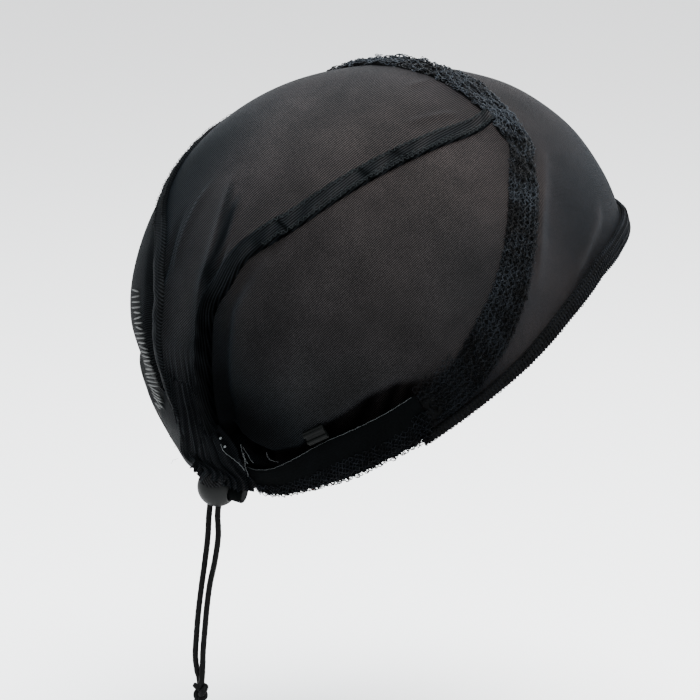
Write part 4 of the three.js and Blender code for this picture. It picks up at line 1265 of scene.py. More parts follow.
def swing(tree, inputs, field):
    """How far yarn swings off its line: side to side, over and under, and a little at random."""
    turns = sum_up(tree, "DIVIDE", field("travel"), inputs["Stitch length"])
    angle = sum_up(tree, "MULTIPLY_ADD", turns, 2 * math.pi,
                   sum_up(tree, "MULTIPLY", field("phase"), math.pi))
    aside = sum_up(tree, "MULTIPLY", sum_up(tree, "SINE", angle),
                   sum_up(tree, "MULTIPLY", inputs["Stitch width"], 0.5))
    over = sum_up(tree, "MULTIPLY", sum_up(tree, "SINE", sum_up(tree, "MULTIPLY", angle, 2)),
                  inputs["Yarn radius"])
    random = wire(tree, "ShaderNodeTexNoise", {"Scale": 900, "Detail": 1, "W": inputs["Seed"]},
                  noise_dimensions="4D")
    wobble = wire(tree, "ShaderNodeVectorMath", {0: random.outputs["Color"], 1: (0.5, 0.5, 0.5)},
                  operation="SUBTRACT")
    return added(tree, scaled(tree, field("across", "FLOAT_VECTOR"), aside),
                 scaled(tree, field("out", "FLOAT_VECTOR"), over),
                 scaled(tree, wobble, inputs["Looseness"]))


def yarn_curve(tree, inputs, field, step):
    """The carrier's lines, stepped evenly and swung."""
    lines = wire(tree, "GeometryNodeMeshToCurve", {0: inputs["Geometry"]})
    fine = wire(tree, "GeometryNodeResampleCurve", {0: lines, "Length": step}, mode="LENGTH")
    return wire(tree, "GeometryNodeSetPosition",
                {0: fine, "Offset": swing(tree, inputs, field)})


print("tree helpers ready")

# %% [markdown]
# ### The yarn tree and the loop tree
#
# The first tree swings each line from side to side, so that neighbours touch and leave the holes of a
# net, and gives it an uneven round of yarn. The second sets small rings of yarn along the same lines,
# tilted at random, for the crochet loops. Four corners round the yarn are enough at this size.

# %% Node trees for yarn and loops
STITCH_INPUTS = [("Stitch length", "Float"), ("Stitch width", "Float"), ("Yarn radius", "Float"),
                 ("Looseness", "Float"), ("Seed", "Float"), ("Step", "Float"), ("Material", "Material")]

yarn_tree, given, field = new_tree("yarn", *STITCH_INPUTS)
profile = wire(yarn_tree, "GeometryNodeCurvePrimitiveCircle",
               {"Resolution": 4, "Radius": given["Yarn radius"]})
thickness = wire(yarn_tree, "ShaderNodeTexNoise", {"Scale": 500, "Detail": 2})
solid = wire(yarn_tree, "GeometryNodeCurveToMesh", {
    0: yarn_curve(yarn_tree, given, field, given["Step"]), 1: profile,
    "Scale": sum_up(yarn_tree, "ADD", thickness, 0.5), "Fill Caps": True})
give_out(yarn_tree, solid, given["Material"])

loop_tree, given, field = new_tree("loops", *STITCH_INPUTS, ("Loop radius", "Float"))
places = yarn_curve(loop_tree, given, field, given["Step"])
circle = wire(loop_tree, "GeometryNodeCurvePrimitiveCircle",
              {"Resolution": 7, "Radius": given["Loop radius"]})
profile = wire(loop_tree, "GeometryNodeCurvePrimitiveCircle",
               {"Resolution": 3, "Radius": given["Yarn radius"]})
ring = wire(loop_tree, "GeometryNodeCurveToMesh", {0: circle, 1: profile})
seed = wire(loop_tree, "FunctionNodeFloatToInt", {0: given["Seed"]}).outputs[0]
tilt = random_vector(loop_tree, (-0.7, -0.7, -3), (0.7, 0.7, 3), seed)
size = random_vector(loop_tree, (0.8, 0.65, 1), (1.3, 1.2, 1), seed)
set_out = wire(loop_tree, "GeometryNodeInstanceOnPoints", {
    0: places, "Instance": ring, "Rotation": faced(loop_tree, field, tilt), "Scale": size})
give_out(loop_tree, set_out, given["Material"])
print("trees:", [tree.name for tree in bpy.data.node_groups])

# %% [markdown]
# ### From lines to stitches
#
# A tree needs a carrier: a mesh of bare lines that holds the named values. It grows through a modifier,
# which is then read back as a plain mesh and removed, so that nothing live is left on the piece. A kind
# of stitch is a short row of sizes in millimetres, so each trim below is one line.

# %% Carriers and stitches
def carrier(name, lines, **values):
    """Lines of points joined by edges, with named values or vectors at the points."""
    mesh = bpy.data.meshes.new(name)
    starts = np.cumsum([0] + [len(line) for line in lines])
    edges = [(k, k + 1) for first, last in zip(starts, starts[1:]) for k in range(first, last - 1)]
    mesh.from_pydata(np.vstack(lines).tolist(), edges, [])
    values["travel"] = np.concatenate([travelled(line) for line in lines])
    for key, value in values.items():
        value = np.asarray(value)
        kind, slot_name = ("FLOAT_VECTOR", "vector") if value.ndim > 1 else ("FLOAT", "value")
        mesh.attributes.new(key, kind, "POINT").data.foreach_set(slot_name, value.ravel())
    return placed(name, mesh)


def at_points(lines, values):
    """One value for each line, or for each of its points, as one value for each point of all lines."""
    return np.concatenate([np.broadcast_to(value, len(line)) for value, line in zip(values, lines)])


def on_lines(name, lines, **values):
    """A carrier of lines that lie on the cap, with the directions that the trees ask for."""
    across, out = (np.vstack(both) for both in zip(*(directions(line) for line in lines)))
    values = {key: at_points(lines, value) for key, value in values.items()}
    return carrier(name, lines, across=across, out=out, **values)


def grown(piece, tree, **values):
    """Grow a carrier with a tree, and keep the result as a plain mesh."""
    grow = piece.modifiers.new("grow", "NODES")
    grow.node_group = tree
    for item in tree.interface.items_tree:
        label = item.name.replace(" ", "_").lower()
        if item.in_out == "INPUT" and label in values:
            grow[item.identifier] = values[label]
    bpy.context.view_layer.update()
    ready = bpy.data.meshes.new_from_object(piece.evaluated_get(bpy.context.evaluated_depsgraph_get()))
    piece.modifiers.clear()
    piece.data = ready
    return piece


def stitch(length, width, radius, looseness, step, loop=0):
    """One kind of stitch, in mm: its length and width, the yarn's radius and looseness, the step along
    the line, and the radius of a loop. A stitch without a loop is plain yarn."""
    labels = ("stitch_length", "stitch_width", "yarn_radius", "looseness", "step", "loop_radius")
    sizes = (length, width, radius, looseness, step, loop)
    return {label: value / 1000 for label, value in zip(labels, sizes)}


def uneven_phases(count):
    """Phases that don't repeat from line to line, so that the holes of a net lie askew."""
    return [(0.7 * k) % 2 for k in range(count)]


def stitched(name, lines, kind, seed, material, phases=None):
    """A piece of yarn, thread or loops along lines on the cap. Phases are in half turns of the swing."""
    phases = phases if phases is not None else [k % 2 for k in range(len(lines))]
    tree = loop_tree if kind["loop_radius"] else yarn_tree
    piece = grown(on_lines(name, lines, phase=phases), tree, material=material, seed=seed, **kind)
    return dress(piece, material)


print("stitch helpers ready")

# %% [markdown]
# ## Lace band
#
# Stretch lace covers the seam from ear to ear. It is a dark ground with crocheted yarn on it, frilled at
# both edges, and it bunches where it crosses the crown and where it turns down towards the ear. The
# yarn's lines run along the band, lifted by the same bunching as the ground, so both keep together.

# %% Lace over the crown
LACE_STEP = 0.0012
WALES = 11
LACE_LOW, LACE_HIGH, LACE_SINK = 0.0010, 0.0016, 0.0003
YARN_LIFT, LOOP_LIFT, CHAIN_LIFT, PICOT_LIFT = 0.0019, 0.00205, 0.0024, 0.0016
RIB_HEIGHT, CROWN_FOLD, CORNER_FOLD = 0.0007, 0.0013, 0.0019
LACE_YARN = stitch(2.7, 1.25, 0.18, 1.7, 0.5)
LACE_LOOPS = stitch(5.1, 1.1, 0.15, 1.6, 2.3, loop=0.58)
LACE_CHAINS = stitch(1.6, 0.6, 0.2, 0.8, 0.5)
LACE_PICOTS = stitch(4.3, 0.7, 0.18, 0.8, 1.25, loop=0.6)


def bunched(share):
    """Where the lace bunches, by the share along it: over the crown and at the corners."""
    return np.exp(-(((share - 0.5) / 0.09) ** 2)), np.exp(-(((np.abs(share - 0.5) - 0.19) / 0.035) ** 2))


def ruche(share, across):
    """Extra height where the lace bunches, by the share along it and across it."""
    crown, corner = bunched(share)
    rib = np.sin(2 * np.pi * (share * 46 + across * 1.7 + 0.3 * np.sin(share * 71)))
    fold = np.exp(-(((across - 0.2 * np.sin(share * 40) - 0.1) / 0.14) ** 2))
    return RIB_HEIGHT * rib * (0.2 + crown + corner) + fold * (CROWN_FOLD * crown + CORNER_FOLD * corner)


lace_fine = evenly(lace_line, np.linspace(0, 1, int(travelled(lace_line)[-1] / LACE_STEP)))
lace_share = np.linspace(0, 1, len(lace_fine))
lace_width = LACE_WIDTH * from_table(LACE_WIDTH_ROWS, np.abs(2 * lace_share - 1))
unruly = sum(bunched(lace_share))
lace_width = lace_width * (1 + 0.09 * unruly * np.sin(150 * lace_share + 2 * np.sin(60 * lace_share)))
lace_width = lace_width * (1 - 0.17 * bunched(lace_share)[1])
lace_fine = moved(lace_fine, 0.0014 * bunched(lace_share)[1]
                  + 0.0009 * unruly * np.sin(110 * lace_share + 2 * np.sin(37 * lace_share)))
lace_ground_piece = band_piece(
    "lace_ground", lace_fine, lace_width * 0.9, LACE_LOW, LACE_HIGH, across=24,
    relief=lambda distance, a: np.maximum(ruche(lace_share, a), -LACE_SINK))
dress(lace_ground_piece, lace_ground, ["lace_band"])


def lace_lines(shares, lift):
    """Lines along the lace at shares of its width, started unevenly so that no rows form across."""
    return [on_cap(moved(lace_fine, a * lace_width), lift + ruche(lace_share, a))[(3 * k) % 5:]
            for k, a in enumerate(shares)]


yarn_lines = lace_lines(np.linspace(-0.41, 0.41, WALES), YARN_LIFT)
loop_lines = lace_lines(np.linspace(-0.38, 0.38, WALES - 1), LOOP_LIFT)
chain_lines = lace_lines([-0.36, -0.2, -0.02, 0.16, 0.32], CHAIN_LIFT)
lace_yarn = stitched("lace_yarn", yarn_lines, LACE_YARN, 3.0, yarn, phases=uneven_phases(WALES))
lace_loops = stitched("lace_loops", loop_lines, LACE_LOOPS, 8.0, yarn)
lace_chains = stitched("lace_chains", chain_lines, LACE_CHAINS, 12.0, yarn)
lace_picots = stitched("lace_picots", lace_lines([-0.44, 0.44], PICOT_LIFT), LACE_PICOTS, 5.0, yarn)
print("lace faces:", [len(piece.data.polygons) for piece in (lace_ground_piece, lace_yarn, lace_loops,
                                                             lace_chains, lace_picots)])

# %% [markdown]
# ## Knitted hem
#
# A firm knitted elastic binds the face edge. Its stitches lean one way in one row and the other way in
# the next, a herringbone. A third tree sets one small stitch, a long bead of yarn, at every point of a
# carrier, turned by the lean that the point holds. Small picot loops finish the lower edge.

# %% Stitch tree and hem
bead_tree, given, field = new_tree("stitches", ("Stitch length", "Float"), ("Stitch width", "Float"),
                                   ("Seed", "Int"), ("Material", "Material"))
bead = wire(bead_tree, "GeometryNodeMeshUVSphere", {"Segments": 6, "Rings": 4, "Radius": 0.5})
jitter = random_vector(bead_tree, (-0.12, -0.12, -0.12), (0.12, 0.12, 0.12), given["Seed"])
lean = wire(bead_tree, "ShaderNodeCombineXYZ", {2: field("lean")})
shape = wire(bead_tree, "ShaderNodeCombineXYZ",
             {0: given["Stitch length"], 1: given["Stitch width"], 2: given["Stitch width"]})
set_out = wire(bead_tree, "GeometryNodeInstanceOnPoints", {
    0: given["Geometry"], "Instance": bead,
    "Rotation": faced(bead_tree, field, added(bead_tree, jitter, lean)),
    "Scale": scaled(bead_tree, shape, field("size"))})
give_out(bead_tree, set_out, given["Material"])


def beaded(name, lines, lean, size, length, width, seed, material):
    """Small stitches at the points of lines on the cap. Lean is an angle from across the line, size a
    share of the length and width in mm."""
    piece = on_lines(name, lines, lean=lean, size=size)
    grown(piece, bead_tree, material=material, seed=seed, stitch_length=length / 1000,
          stitch_width=width / 1000)
    return dress(piece, material)


HEM_STEPS, HEM_ROWS = 290, 6
HEM_LOW, HEM_HIGH, HEM_ROUNDING = 0.0011, 0.0036, 0.55
HEM_CLEAR, HEM_EDGE_LIFT = 0.00005, 0.0022
HEM_LEAN = math.radians(42)
HEM_PICOTS = stitch(3.3, 0.3, 0.15, 0.4, 1.7, loop=0.55)
HEM_EDGING = stitch(1.6, 0.7, 0.22, 0.4, 0.4)

hem_angles = np.linspace(-RIM_START, RIM_START, HEM_STEPS)
hem_line = rim_point(hem_angles, HEM_RAISE * hem_width(hem_angles))
hem_fine = evenly(hem_line, np.linspace(0, 1, HEM_STEPS))
hem_widths = hem_width(np.degrees(np.arctan2(hem_fine[:, 0], -hem_fine[:, 1])))
hem_ground = band_piece("hem_ground", hem_fine, hem_widths, HEM_LOW, HEM_HIGH, across=14,
                        rounding=HEM_ROUNDING)
dress(hem_ground, lace_ground, ["front_hem"])


def hem_height(a):
    """How high a row of stitches lies, at a share of the hem's width."""
    return HEM_LOW + (HEM_HIGH - HEM_LOW) * (1 - HEM_ROUNDING * abs(2 * a) ** 6) + HEM_CLEAR


hem_shares = np.linspace(-0.44, 0.44, HEM_ROWS)
hem_rows = [on_cap(moved(hem_fine, a * hem_widths), hem_height(a)) for a in hem_shares]
hem_leans = [HEM_LEAN * (1 if k % 2 else -1) for k in range(HEM_ROWS)]
hem_sizes = [0.45 + 0.55 * hem_widths / HEM_WIDTH] * HEM_ROWS
hem_stitches = beaded("hem_stitches", hem_rows, hem_leans, hem_sizes, 1.75, 0.72, 4, hem_yarn)
hem_edges = [on_cap(moved(hem_fine, a * hem_widths), HEM_EDGE_LIFT) for a in (-0.5, 0.5)]
hem_picots = stitched("hem_picots", hem_edges[1:], HEM_PICOTS, 2.0, red_thread)
hem_edging = stitched("hem_edging", hem_edges, HEM_EDGING, 6.0, hem_yarn)
print("hem faces:", [len(piece.data.polygons) for piece in (hem_ground, hem_stitches, hem_picots)])

# %% [markdown]
# ## Seam tapes
#
# Down the back, each seam is covered by a turned strip of the same mesh, two layers thick and so darker,
# sewn with an overlock zigzag and one wandering row of small straight stitches. The strip is a band; the
# thread uses the yarn tree and the straight row the stitch tree. On the right the strip was joined from
# two lengths, which leaves a step, and painted shadow darkens it at the step and at a few pinches.

# %% Tapes down the back
TAPE_WIDTH = 0.007
TAPE_WIDTH_ROWS = [(0, 0.66), (0.1, 0.86), (0.3, 0.92), (0.55, 1), (0.78, 0.84), (1, 0.65)]
TAPE_LOW, TAPE_HIGH = 0.00105, 0.0021
TAPE_UNDER_LACE, TAPE_CORNER = 0.0055, 0.0016
TAPE_STEP_AT, TAPE_STEP = 0.0905, 0.001
TAPE_RIDGE_AT, TAPE_RIDGE, TAPE_PUCKER = 0.36, 0.00022, 0.0001
TAPE_TURN = 38
# distance from the lace in metres, reach in metres and how dark the painted shadow of each pinch is
TAPE_PINCH_SHADOWS = [
    (0.045, 0.0022, 0.6), (0.059, 0.0016, 0.75), (TAPE_STEP_AT, 0.0008, 0.85), (0.1005, 0.002, 0.4),
]
OVERLOCK = stitch(2.1, 1.3, 0.08, 0.9, 0.3)
OVERLOCK_POINTS, OVERLOCK_LIFT, SEWN_LIFT = 180, 0.00012, 0.0001
SEWN_SHARE, SEWN_PITCH = 0.45, 0.0021

tapes = {}
for label, side in SIDES:
    rows = BACK_SEAM_ROWS + NAPE_SEAM_ROWS[1:]
    line = smooth_path(from_shares(rows, side), 320, LACE_WIDTH / 2 - TAPE_UNDER_LACE, TAPE_CORNER)
    share = np.linspace(0, 1, len(line))
    width = TAPE_WIDTH * from_table(TAPE_WIDTH_ROWS, share)

    def tape_relief(distance, a, side=side):
        """Seam ridges near both edges, a step where the strip was joined, and slight puckers."""
        ridges = np.exp(-(((abs(a) - TAPE_RIDGE_AT) / 0.07) ** 2)) * TAPE_RIDGE
        past = distance - TAPE_STEP_AT
        step = TAPE_STEP * (side < 0) * smooth_step(-0.0008, 0.0004, past - 0.003 * a * side)
        step = step * (1 - smooth_step(0.002, 0.012, past))
        pucker = TAPE_PUCKER * np.sin(distance / 0.0016 + 2.5 * np.sin(distance / 0.011) + 4 * a)
        return ridges + step + pucker

    def tape_tone_and_shade(distance, a, side=side):
        """Dark turned edges, uneven cloth between them and painted shadow at pinches. The left tape stays
        plain.
        """
        if side > 0:
            return 0.8
        tone_and_shade = 0.5 * (1 - 0.5 * np.exp(-(((abs(a) - 0.47) / 0.06) ** 2))) * (1 - 0.25 * (a < -0.3))
        tone_and_shade = tone_and_shade * (1 + 0.2 * np.sin(distance / 0.0021 + 3 * np.sin(distance / 0.0074) + 5 * a))
        tone_and_shade = tone_and_shade * (1 + 0.35 * np.exp(-((distance / 0.016) ** 2)))
        for place, reach, depth in TAPE_PINCH_SHADOWS:
            tone_and_shade = tone_and_shade * (1 - depth * np.exp(-(((distance - place - 0.0017 * a) / reach) ** 2)))
        return tone_and_shade

    tape = band_piece(f"seam_tape_{label}", line, width, TAPE_LOW, TAPE_HIGH, across=18, rounding=0.45,
                      relief=tape_relief, tone_and_shade=tape_tone_and_shade, turn=TAPE_TURN * (side < 0))
    dress(tape, mesh_cloth, [f"back_seam_{label}"])
    zigzag = [on_cap(moved(line, a * width), TAPE_HIGH + OVERLOCK_LIFT + tape_relief(travelled(line), a))
              for a in (-TAPE_RIDGE_AT, TAPE_RIDGE_AT)]
    overlock = stitched(f"overlock_{label}", [row[:OVERLOCK_POINTS] for row in zigzag], OVERLOCK, 1.0 + side,
                        seam_thread if side < 0 else lace_ground)
    stray = side * (0.2 + 0.06 * np.sin(travelled(line) / 0.0043)) * width
    row = on_cap(moved(line, stray), TAPE_HIGH + SEWN_LIFT)
    row = evenly(row, np.linspace(0, SEWN_SHARE, int(SEWN_SHARE * travelled(row)[-1] / SEWN_PITCH)))
    dotted = beaded(f"seam_stitches_{label}", [row], [math.radians(90)], [1.0], 1.5, 0.28, 7,
                    seam_thread if side < 0 else yarn)
    tapes[label] = [tape, overlock, dotted]
    print(label, "tape:", round(travelled(line)[-1], 3), "m, faces",
          [len(piece.data.polygons) for piece in tapes[label]])

# %% [markdown]
# ## Lace along the lower rim
#
# From each ear to the nape, a narrower lace of the same yarn edges the side panels. It widens to cover
# the soft hair behind the ear and narrows to the nape. A patch between its two edges gives its ground,
# and the same two trees work the yarn on it, with larger picot loops along the free edge.

# %% Rim laces
RIM_WALES = 9
RIM_GROUND_ROWS, RIM_GROUND_LOW, RIM_GROUND_HIGH, RIM_WAVE = 14, 0.0003, 0.0008, 0.00025
RIM_YARN_LIFT, RIM_PICOT_LIFT, RIM_TIP_LIFT, RIM_TIP_DROP = 0.0010, 0.0008, 0.0007, 0.0004
RIM_YARN = stitch(2.7, 1.25, 0.18, 1.5, 0.5)
RIM_LOOPS = stitch(4.7, 1.1, 0.16, 1.0, 2.5, loop=0.6)
RIM_PICOTS = stitch(4.1, 0.6, 0.21, 0.8, 1.2, loop=0.95)
RIM_TIPS = stitch(4.1, 0.3, 0.14, 0.6, 3.2, loop=0.45)

rim_laces = {}
for label, side in SIDES:
    angles = np.linspace(RIM_START + math.degrees(SEAM_GAP / HALF_BREADTH), RIM_END, 130)
    top = rim_lace_top(angles, side, -0.0002)
    foot = rim_point(side * angles, 0.0004)
    down = np.linspace(0, 1, RIM_GROUND_ROWS)[:, None, None]
    grid = top * (1 - down) + foot * down
    wave = RIM_WAVE * np.sin(angles / 0.9 + 2 * np.sin(angles / 5))[None, :]
    direction, bare = bare_head(grid)
    bare = bare + direction * (wave * down[..., 0])[..., None]
    ground = sheet_piece(f"rim_ground_{label}", drawn_in(bare + RIM_GROUND_HIGH * direction),
                         drawn_in(bare + RIM_GROUND_LOW * direction), grid_uv(grid))
    dress(ground, lace_ground, [f"rim_lace_{label}"])

    lines = [on_cap(top * (1 - v) + foot * v, RIM_YARN_LIFT) for v in np.linspace(0.05, 0.97, RIM_WALES)]
    work = stitched(f"rim_yarn_{label}", lines, RIM_YARN, 11.0 + side, yarn,
                    phases=uneven_phases(RIM_WALES))
    loops = stitched(f"rim_loops_{label}", lines[1:], RIM_LOOPS, 14.0 + side, yarn)
    picot_line = on_cap(foot, RIM_PICOT_LIFT)
    picots = stitched(f"rim_picots_{label}", [picot_line], RIM_PICOTS, 17.0 + side, yarn)
    tip_line = on_cap(rim_point(side * angles, -RIM_TIP_DROP), RIM_TIP_LIFT)
    tips = stitched(f"rim_tips_{label}", [tip_line], RIM_TIPS, 19.0 + side, red_thread)
    rim_laces[label] = [ground, work, loops, picots, tips]
    print(label, "rim lace faces:", [len(piece.data.polygons) for piece in rim_laces[label]])

# %% [markdown]
# ## Straps and their slides
#
# A smooth flat elastic runs from each ear to the nape and takes the pull. Woven elastic has fine ribs
# along it, where rubber threads lie side by side, and a bound upper edge that catches the light as a
# thin line, painted as a highlight by the binding's pale thread. The rim lace laps over its lower half.
# A small plastic slide with two ridges stands on the upper edge.

# %% Straps, bound edges and slides
STRAP_WIDTH, STRAP_LOW, STRAP_HIGH = 0.014, 0.00135, 0.00255
STRAP_ROWS = [
    (0.80, 0.57, 0.803), (0.71, 0.66, 0.844), (0.60, 0.725, 0.879), (0.48, 0.765, 0.917),
    (0.36, 0.79, 0.945), (0.265, 0.81, 0.951), (0.195, 0.82, 0.945),
]
STRAP_WIDTH_ROWS = [(0, 1), (0.45, 1), (0.7, 0.85), (1, 0.68)]
STRAP_RIB, STRAP_RIB_HEIGHT, STRAP_WAVE, STRAP_SWELL = 0.00105, 0.00003, 0.00014, 0.0003
EDGE_SINK, FOOT_SINK, LACE_OVER = 0.0004, 0.00035, 0.0001
SLIDE_LENGTH, SLIDE_HEIGHT, SLIDE_THICKNESS, SLIDE_RIDGE = 0.0075, 0.005, 0.0018, 0.0007
SLIDE_SOFT, SLIDE_CLEAR = 0.0002, 0.0011
STRAP_EDGE = stitch(3.7, 0.1, 0.06, 0.15, 0.6)
STRAP_FOOT = stitch(1.2, 0.8, 0.15, 0.2, 0.3)
STRAP_LACE = stitch(2.4, 1.3, 0.18, 1.9, 0.5)
STRAP_LACE_ROWS = 8


def slide_rings():
    """The slide's section, repeated along it and drawn in slightly at both ends."""
    half, back, face = SLIDE_HEIGHT / 2, -SLIDE_THICKNESS / 2, SLIDE_THICKNESS / 2 - SLIDE_RIDGE
    arc = np.linspace(0, np.pi, 13)
    section = [(SLIDE_SOFT - half, back), (half - SLIDE_SOFT, back), (half, back + SLIDE_SOFT),
               (half, face - SLIDE_SOFT), (half - SLIDE_SOFT, face)]
    for middle in (half / 2, -half / 2):
        section += [(middle + SLIDE_RIDGE * math.cos(t), face + SLIDE_RIDGE * math.sin(t)) for t in arc]
    section += [(SLIDE_SOFT - half, face), (-half, face - SLIDE_SOFT), (-half, back + SLIDE_SOFT)]
    section = np.array(section)
    rings = []
    for along, size in ((-0.5, 0.9), (-0.485, 0.97), (-0.46, 1), (0.46, 1), (0.485, 0.97), (0.5, 0.9)):
        rings.append(np.column_stack([np.full(len(section), along * SLIDE_LENGTH), size * section]))
    return np.array(rings)


straps = {}
for label, side in SIDES:
    line = smooth_path(np.vstack([lace_end(side), from_shares(STRAP_ROWS, side)]), 240, SEAM_GAP)
    share = np.linspace(0, 1, len(line))
    width = STRAP_WIDTH * from_table(STRAP_WIDTH_ROWS, share)

    def strap_relief(distance, a, width=width, side=side):
        """Ribs along the elastic, a slight lengthwise wave and a swelling under the slide."""
        ribs = STRAP_RIB_HEIGHT * np.cos(2 * np.pi * a * width / STRAP_RIB)
        wave = STRAP_WAVE * np.sin(distance / 0.0052 + 2 * a) * smooth_step(0.02, 0.05, distance)
        under_slide = np.exp(-(((distance / distance[-1] - 0.5) / 0.05) ** 2))
        swell = STRAP_SWELL * under_slide * (0.5 - side * a)
        return ribs + wave + swell

    strap = band_piece(f"strap_band_{label}", line, width, STRAP_LOW, STRAP_HIGH, across=36, rounding=0.4,
                       relief=strap_relief)
    dress(strap, elastic, [f"strap_{label}"])
    upper = on_cap(moved(line, -side * (0.5 * width + 0.0001)), STRAP_HIGH - EDGE_SINK)
    bound = stitched(f"strap_edge_{label}", [upper[4:-3]], STRAP_EDGE, 21.0 + side, edge_thread_and_highlight)
    foot_edge = on_cap(moved(line, side * 0.47 * width), STRAP_HIGH - FOOT_SINK)
    lower = stitched(f"strap_foot_{label}", [foot_edge[4:-3]], STRAP_FOOT, 23.0 + side, yarn)

    station = len(line) // 2
    raised = STRAP_WIDTH * from_table(STRAP_WIDTH_ROWS, 0.5) / 2 + SLIDE_CLEAR + SLIDE_HEIGHT / 2
    place = on_cap(moved(line, -side * raised)[station], (STRAP_LOW + STRAP_HIGH) / 2)
    along = unit(line[station + 13] - line[station - 13])
    out = on_form(place)[0]
    up = unit(np.cross(out, along))
    axes = np.array([along, up, np.cross(along, up)])
    slide = ring_piece(f"slide_{label}", place + slide_rings() @ axes)
    dress(slide, slide_plastic, [f"slider_{label}"])
    lace_rows = [on_cap(moved(line, side * a * width), STRAP_HIGH + LACE_OVER)[6:-12]
                 for a in np.linspace(0.14, 0.5, STRAP_LACE_ROWS)]
    cover = stitched(f"strap_lace_{label}", lace_rows, STRAP_LACE, 25.0 + side, yarn,
                     phases=uneven_phases(STRAP_LACE_ROWS))
    straps[label] = [strap, bound, lower, slide, cover]
    print(label, "strap:", round(travelled(line)[-1], 3), "m, slide at", np.round(place, 3))

# %% [markdown]
# ## Where the lace ends at the ear
#
# Lace, hem, strap and rim lace meet behind the ear, and the lace's frilly end hides the joint. A small
# ground patch closes the joint from below. Short lines of yarn run over it, along the lace's rear edge
# and down to the rim.

# %% Lace ends
FRILL_REACH = 0.02
FRILL_SHARES = (0.5, 0.565, 0.63, 0.695)
FRILL_YARN = stitch(2.6, 1.2, 0.18, 1.1, 0.5)
FRILL_LIFT, FRILL_LAYER, COLUMN_LIFT, COLUMN_LAYER = 0.0029, 0.0001, 0.0041, 0.0003
CLOSING_LOW, CLOSING_HIGH = 0.00005, 0.00028

for label, side in SIDES:
    along = travelled(lace_fine)
    from_end = np.minimum(along, along[-1] - along)
    near = np.where((lace_fine[:, 0] * side > 0) & (from_end < FRILL_REACH))[0]
    lines = [on_cap(moved(lace_fine, -a * lace_width)[near], FRILL_LIFT + FRILL_LAYER * k)
             for k, a in enumerate(FRILL_SHARES)]
    angles = np.linspace(RIM_START - 1.6, RIM_START + 2.4, 6)
    for k, angle in enumerate(angles):
        column = rim_point(side * np.full(30, angle), 0.0)
        top = rim_lace_top(np.full(30, angle + 1.0), side, 0.002)
        column = column + (top - column) * np.linspace(0.03, 0.9, 30)[:, None]
        lines.append(on_cap(column, COLUMN_LIFT - COLUMN_LAYER * k))
    frill = stitched(f"lace_end_{label}", lines, FRILL_YARN, 27.0 + side, yarn)
    angles = np.linspace(RIM_START - 3, RIM_START + 5, 40)
    high, low = rim_lace_top(angles, side, 0.005), rim_point(side * angles, 0.0008)
    down = np.linspace(0, 1, 16)[:, None, None]
    patch = high * (1 - down) + low * down
    closing = sheet_piece(f"ear_ground_{label}", on_cap(patch, CLOSING_HIGH),
                          on_cap(patch, CLOSING_LOW), grid_uv(patch))
    dress(closing, lace_ground)
    straps[label] += [frill, closing]
print("lace end faces:", len(frill.data.polygons))

# %% [markdown]
# ## Gathered nape
#
# The drawcord runs in a short channel of gathered mesh, and a loose frill of it falls over the lock.
# Gathers pinch the cloth into close uneven ridges, so the channel is a tube whose radius swells and
# dips along its length, and the frill is a sheet that waves more towards its free edge.

# %% Channel and frill
CASING_ROWS = [(0.185, 0.83, 0.92), (0.12, 0.85, 0.902), (0, 0.87, 0.89)]
CASING_WAVES, CASING_PLEATS = 11, 29
CASING_STEPS, CASING_SIDES = 220, 36
RUFFLE_FOOT_ROWS = [(-25, 34), (0, 22), (30, 10), (55, 12), (75, 33), (105, 34)]
RUFFLE_FROM, RUFFLE_TO, RUFFLE_TOP, RUFFLE_WAVES = -25, 105, 44, 7
PLEAT_HEIGHT, PLEAT_LEAN, CASING_SHADE = 0.00028, 0.0009, 0.5
LAYER_GAP, FRILL_WALL, FRILL_SHADE = 0.00035, 0.0005, 0.55

casing_line = joined(smooth_path(from_shares(CASING_ROWS, -1), CASING_STEPS // 2),
                     smooth_path(from_shares(CASING_ROWS, 1), CASING_STEPS // 2)[::-1])
across, out = directions(casing_line)
up = -across
share = np.linspace(0, 1, len(casing_line))
wave = CASING_RUFFLE * np.sin(2 * np.pi * CASING_WAVES * share)
pleat = PLEAT_HEIGHT * np.abs(np.sin(np.pi * CASING_PLEATS * share + 1.2 * np.sin(13 * share)))
turn = np.linspace(0, 2 * np.pi, CASING_SIDES, endpoint=False)
middle = on_cap(casing_line, CASING_THICKNESS / 2)
lean = PLEAT_LEAN * np.sin(2 * np.pi * 3.3 * share + 1)[:, None] * np.sin(turn)[None, :]
outward = (CASING_THICKNESS / 2 - 0.0002) * np.cos(turn) + np.maximum(wave, 0)[:, None] + pleat[:, None]
upward = (CASING_HEIGHT / 2 - 0.0001 + wave / 2 + pleat)[:, None] * np.sin(turn)
along = unit(np.gradient(casing_line, axis=0))
rings = (middle[:, None] + out[:, None] * outward[..., None] + up[:, None] * upward[..., None]
         + along[:, None] * lean[..., None])
uv = np.stack(np.broadcast_arrays(travelled(casing_line)[:, None], turn * CASING_HEIGHT / 2), -1)
casing = ring_piece("nape_channel", rings, uv, shade=np.full(rings.shape[:2], CASING_SHADE))
dress(casing, mesh_cloth, ["nape_casing"])

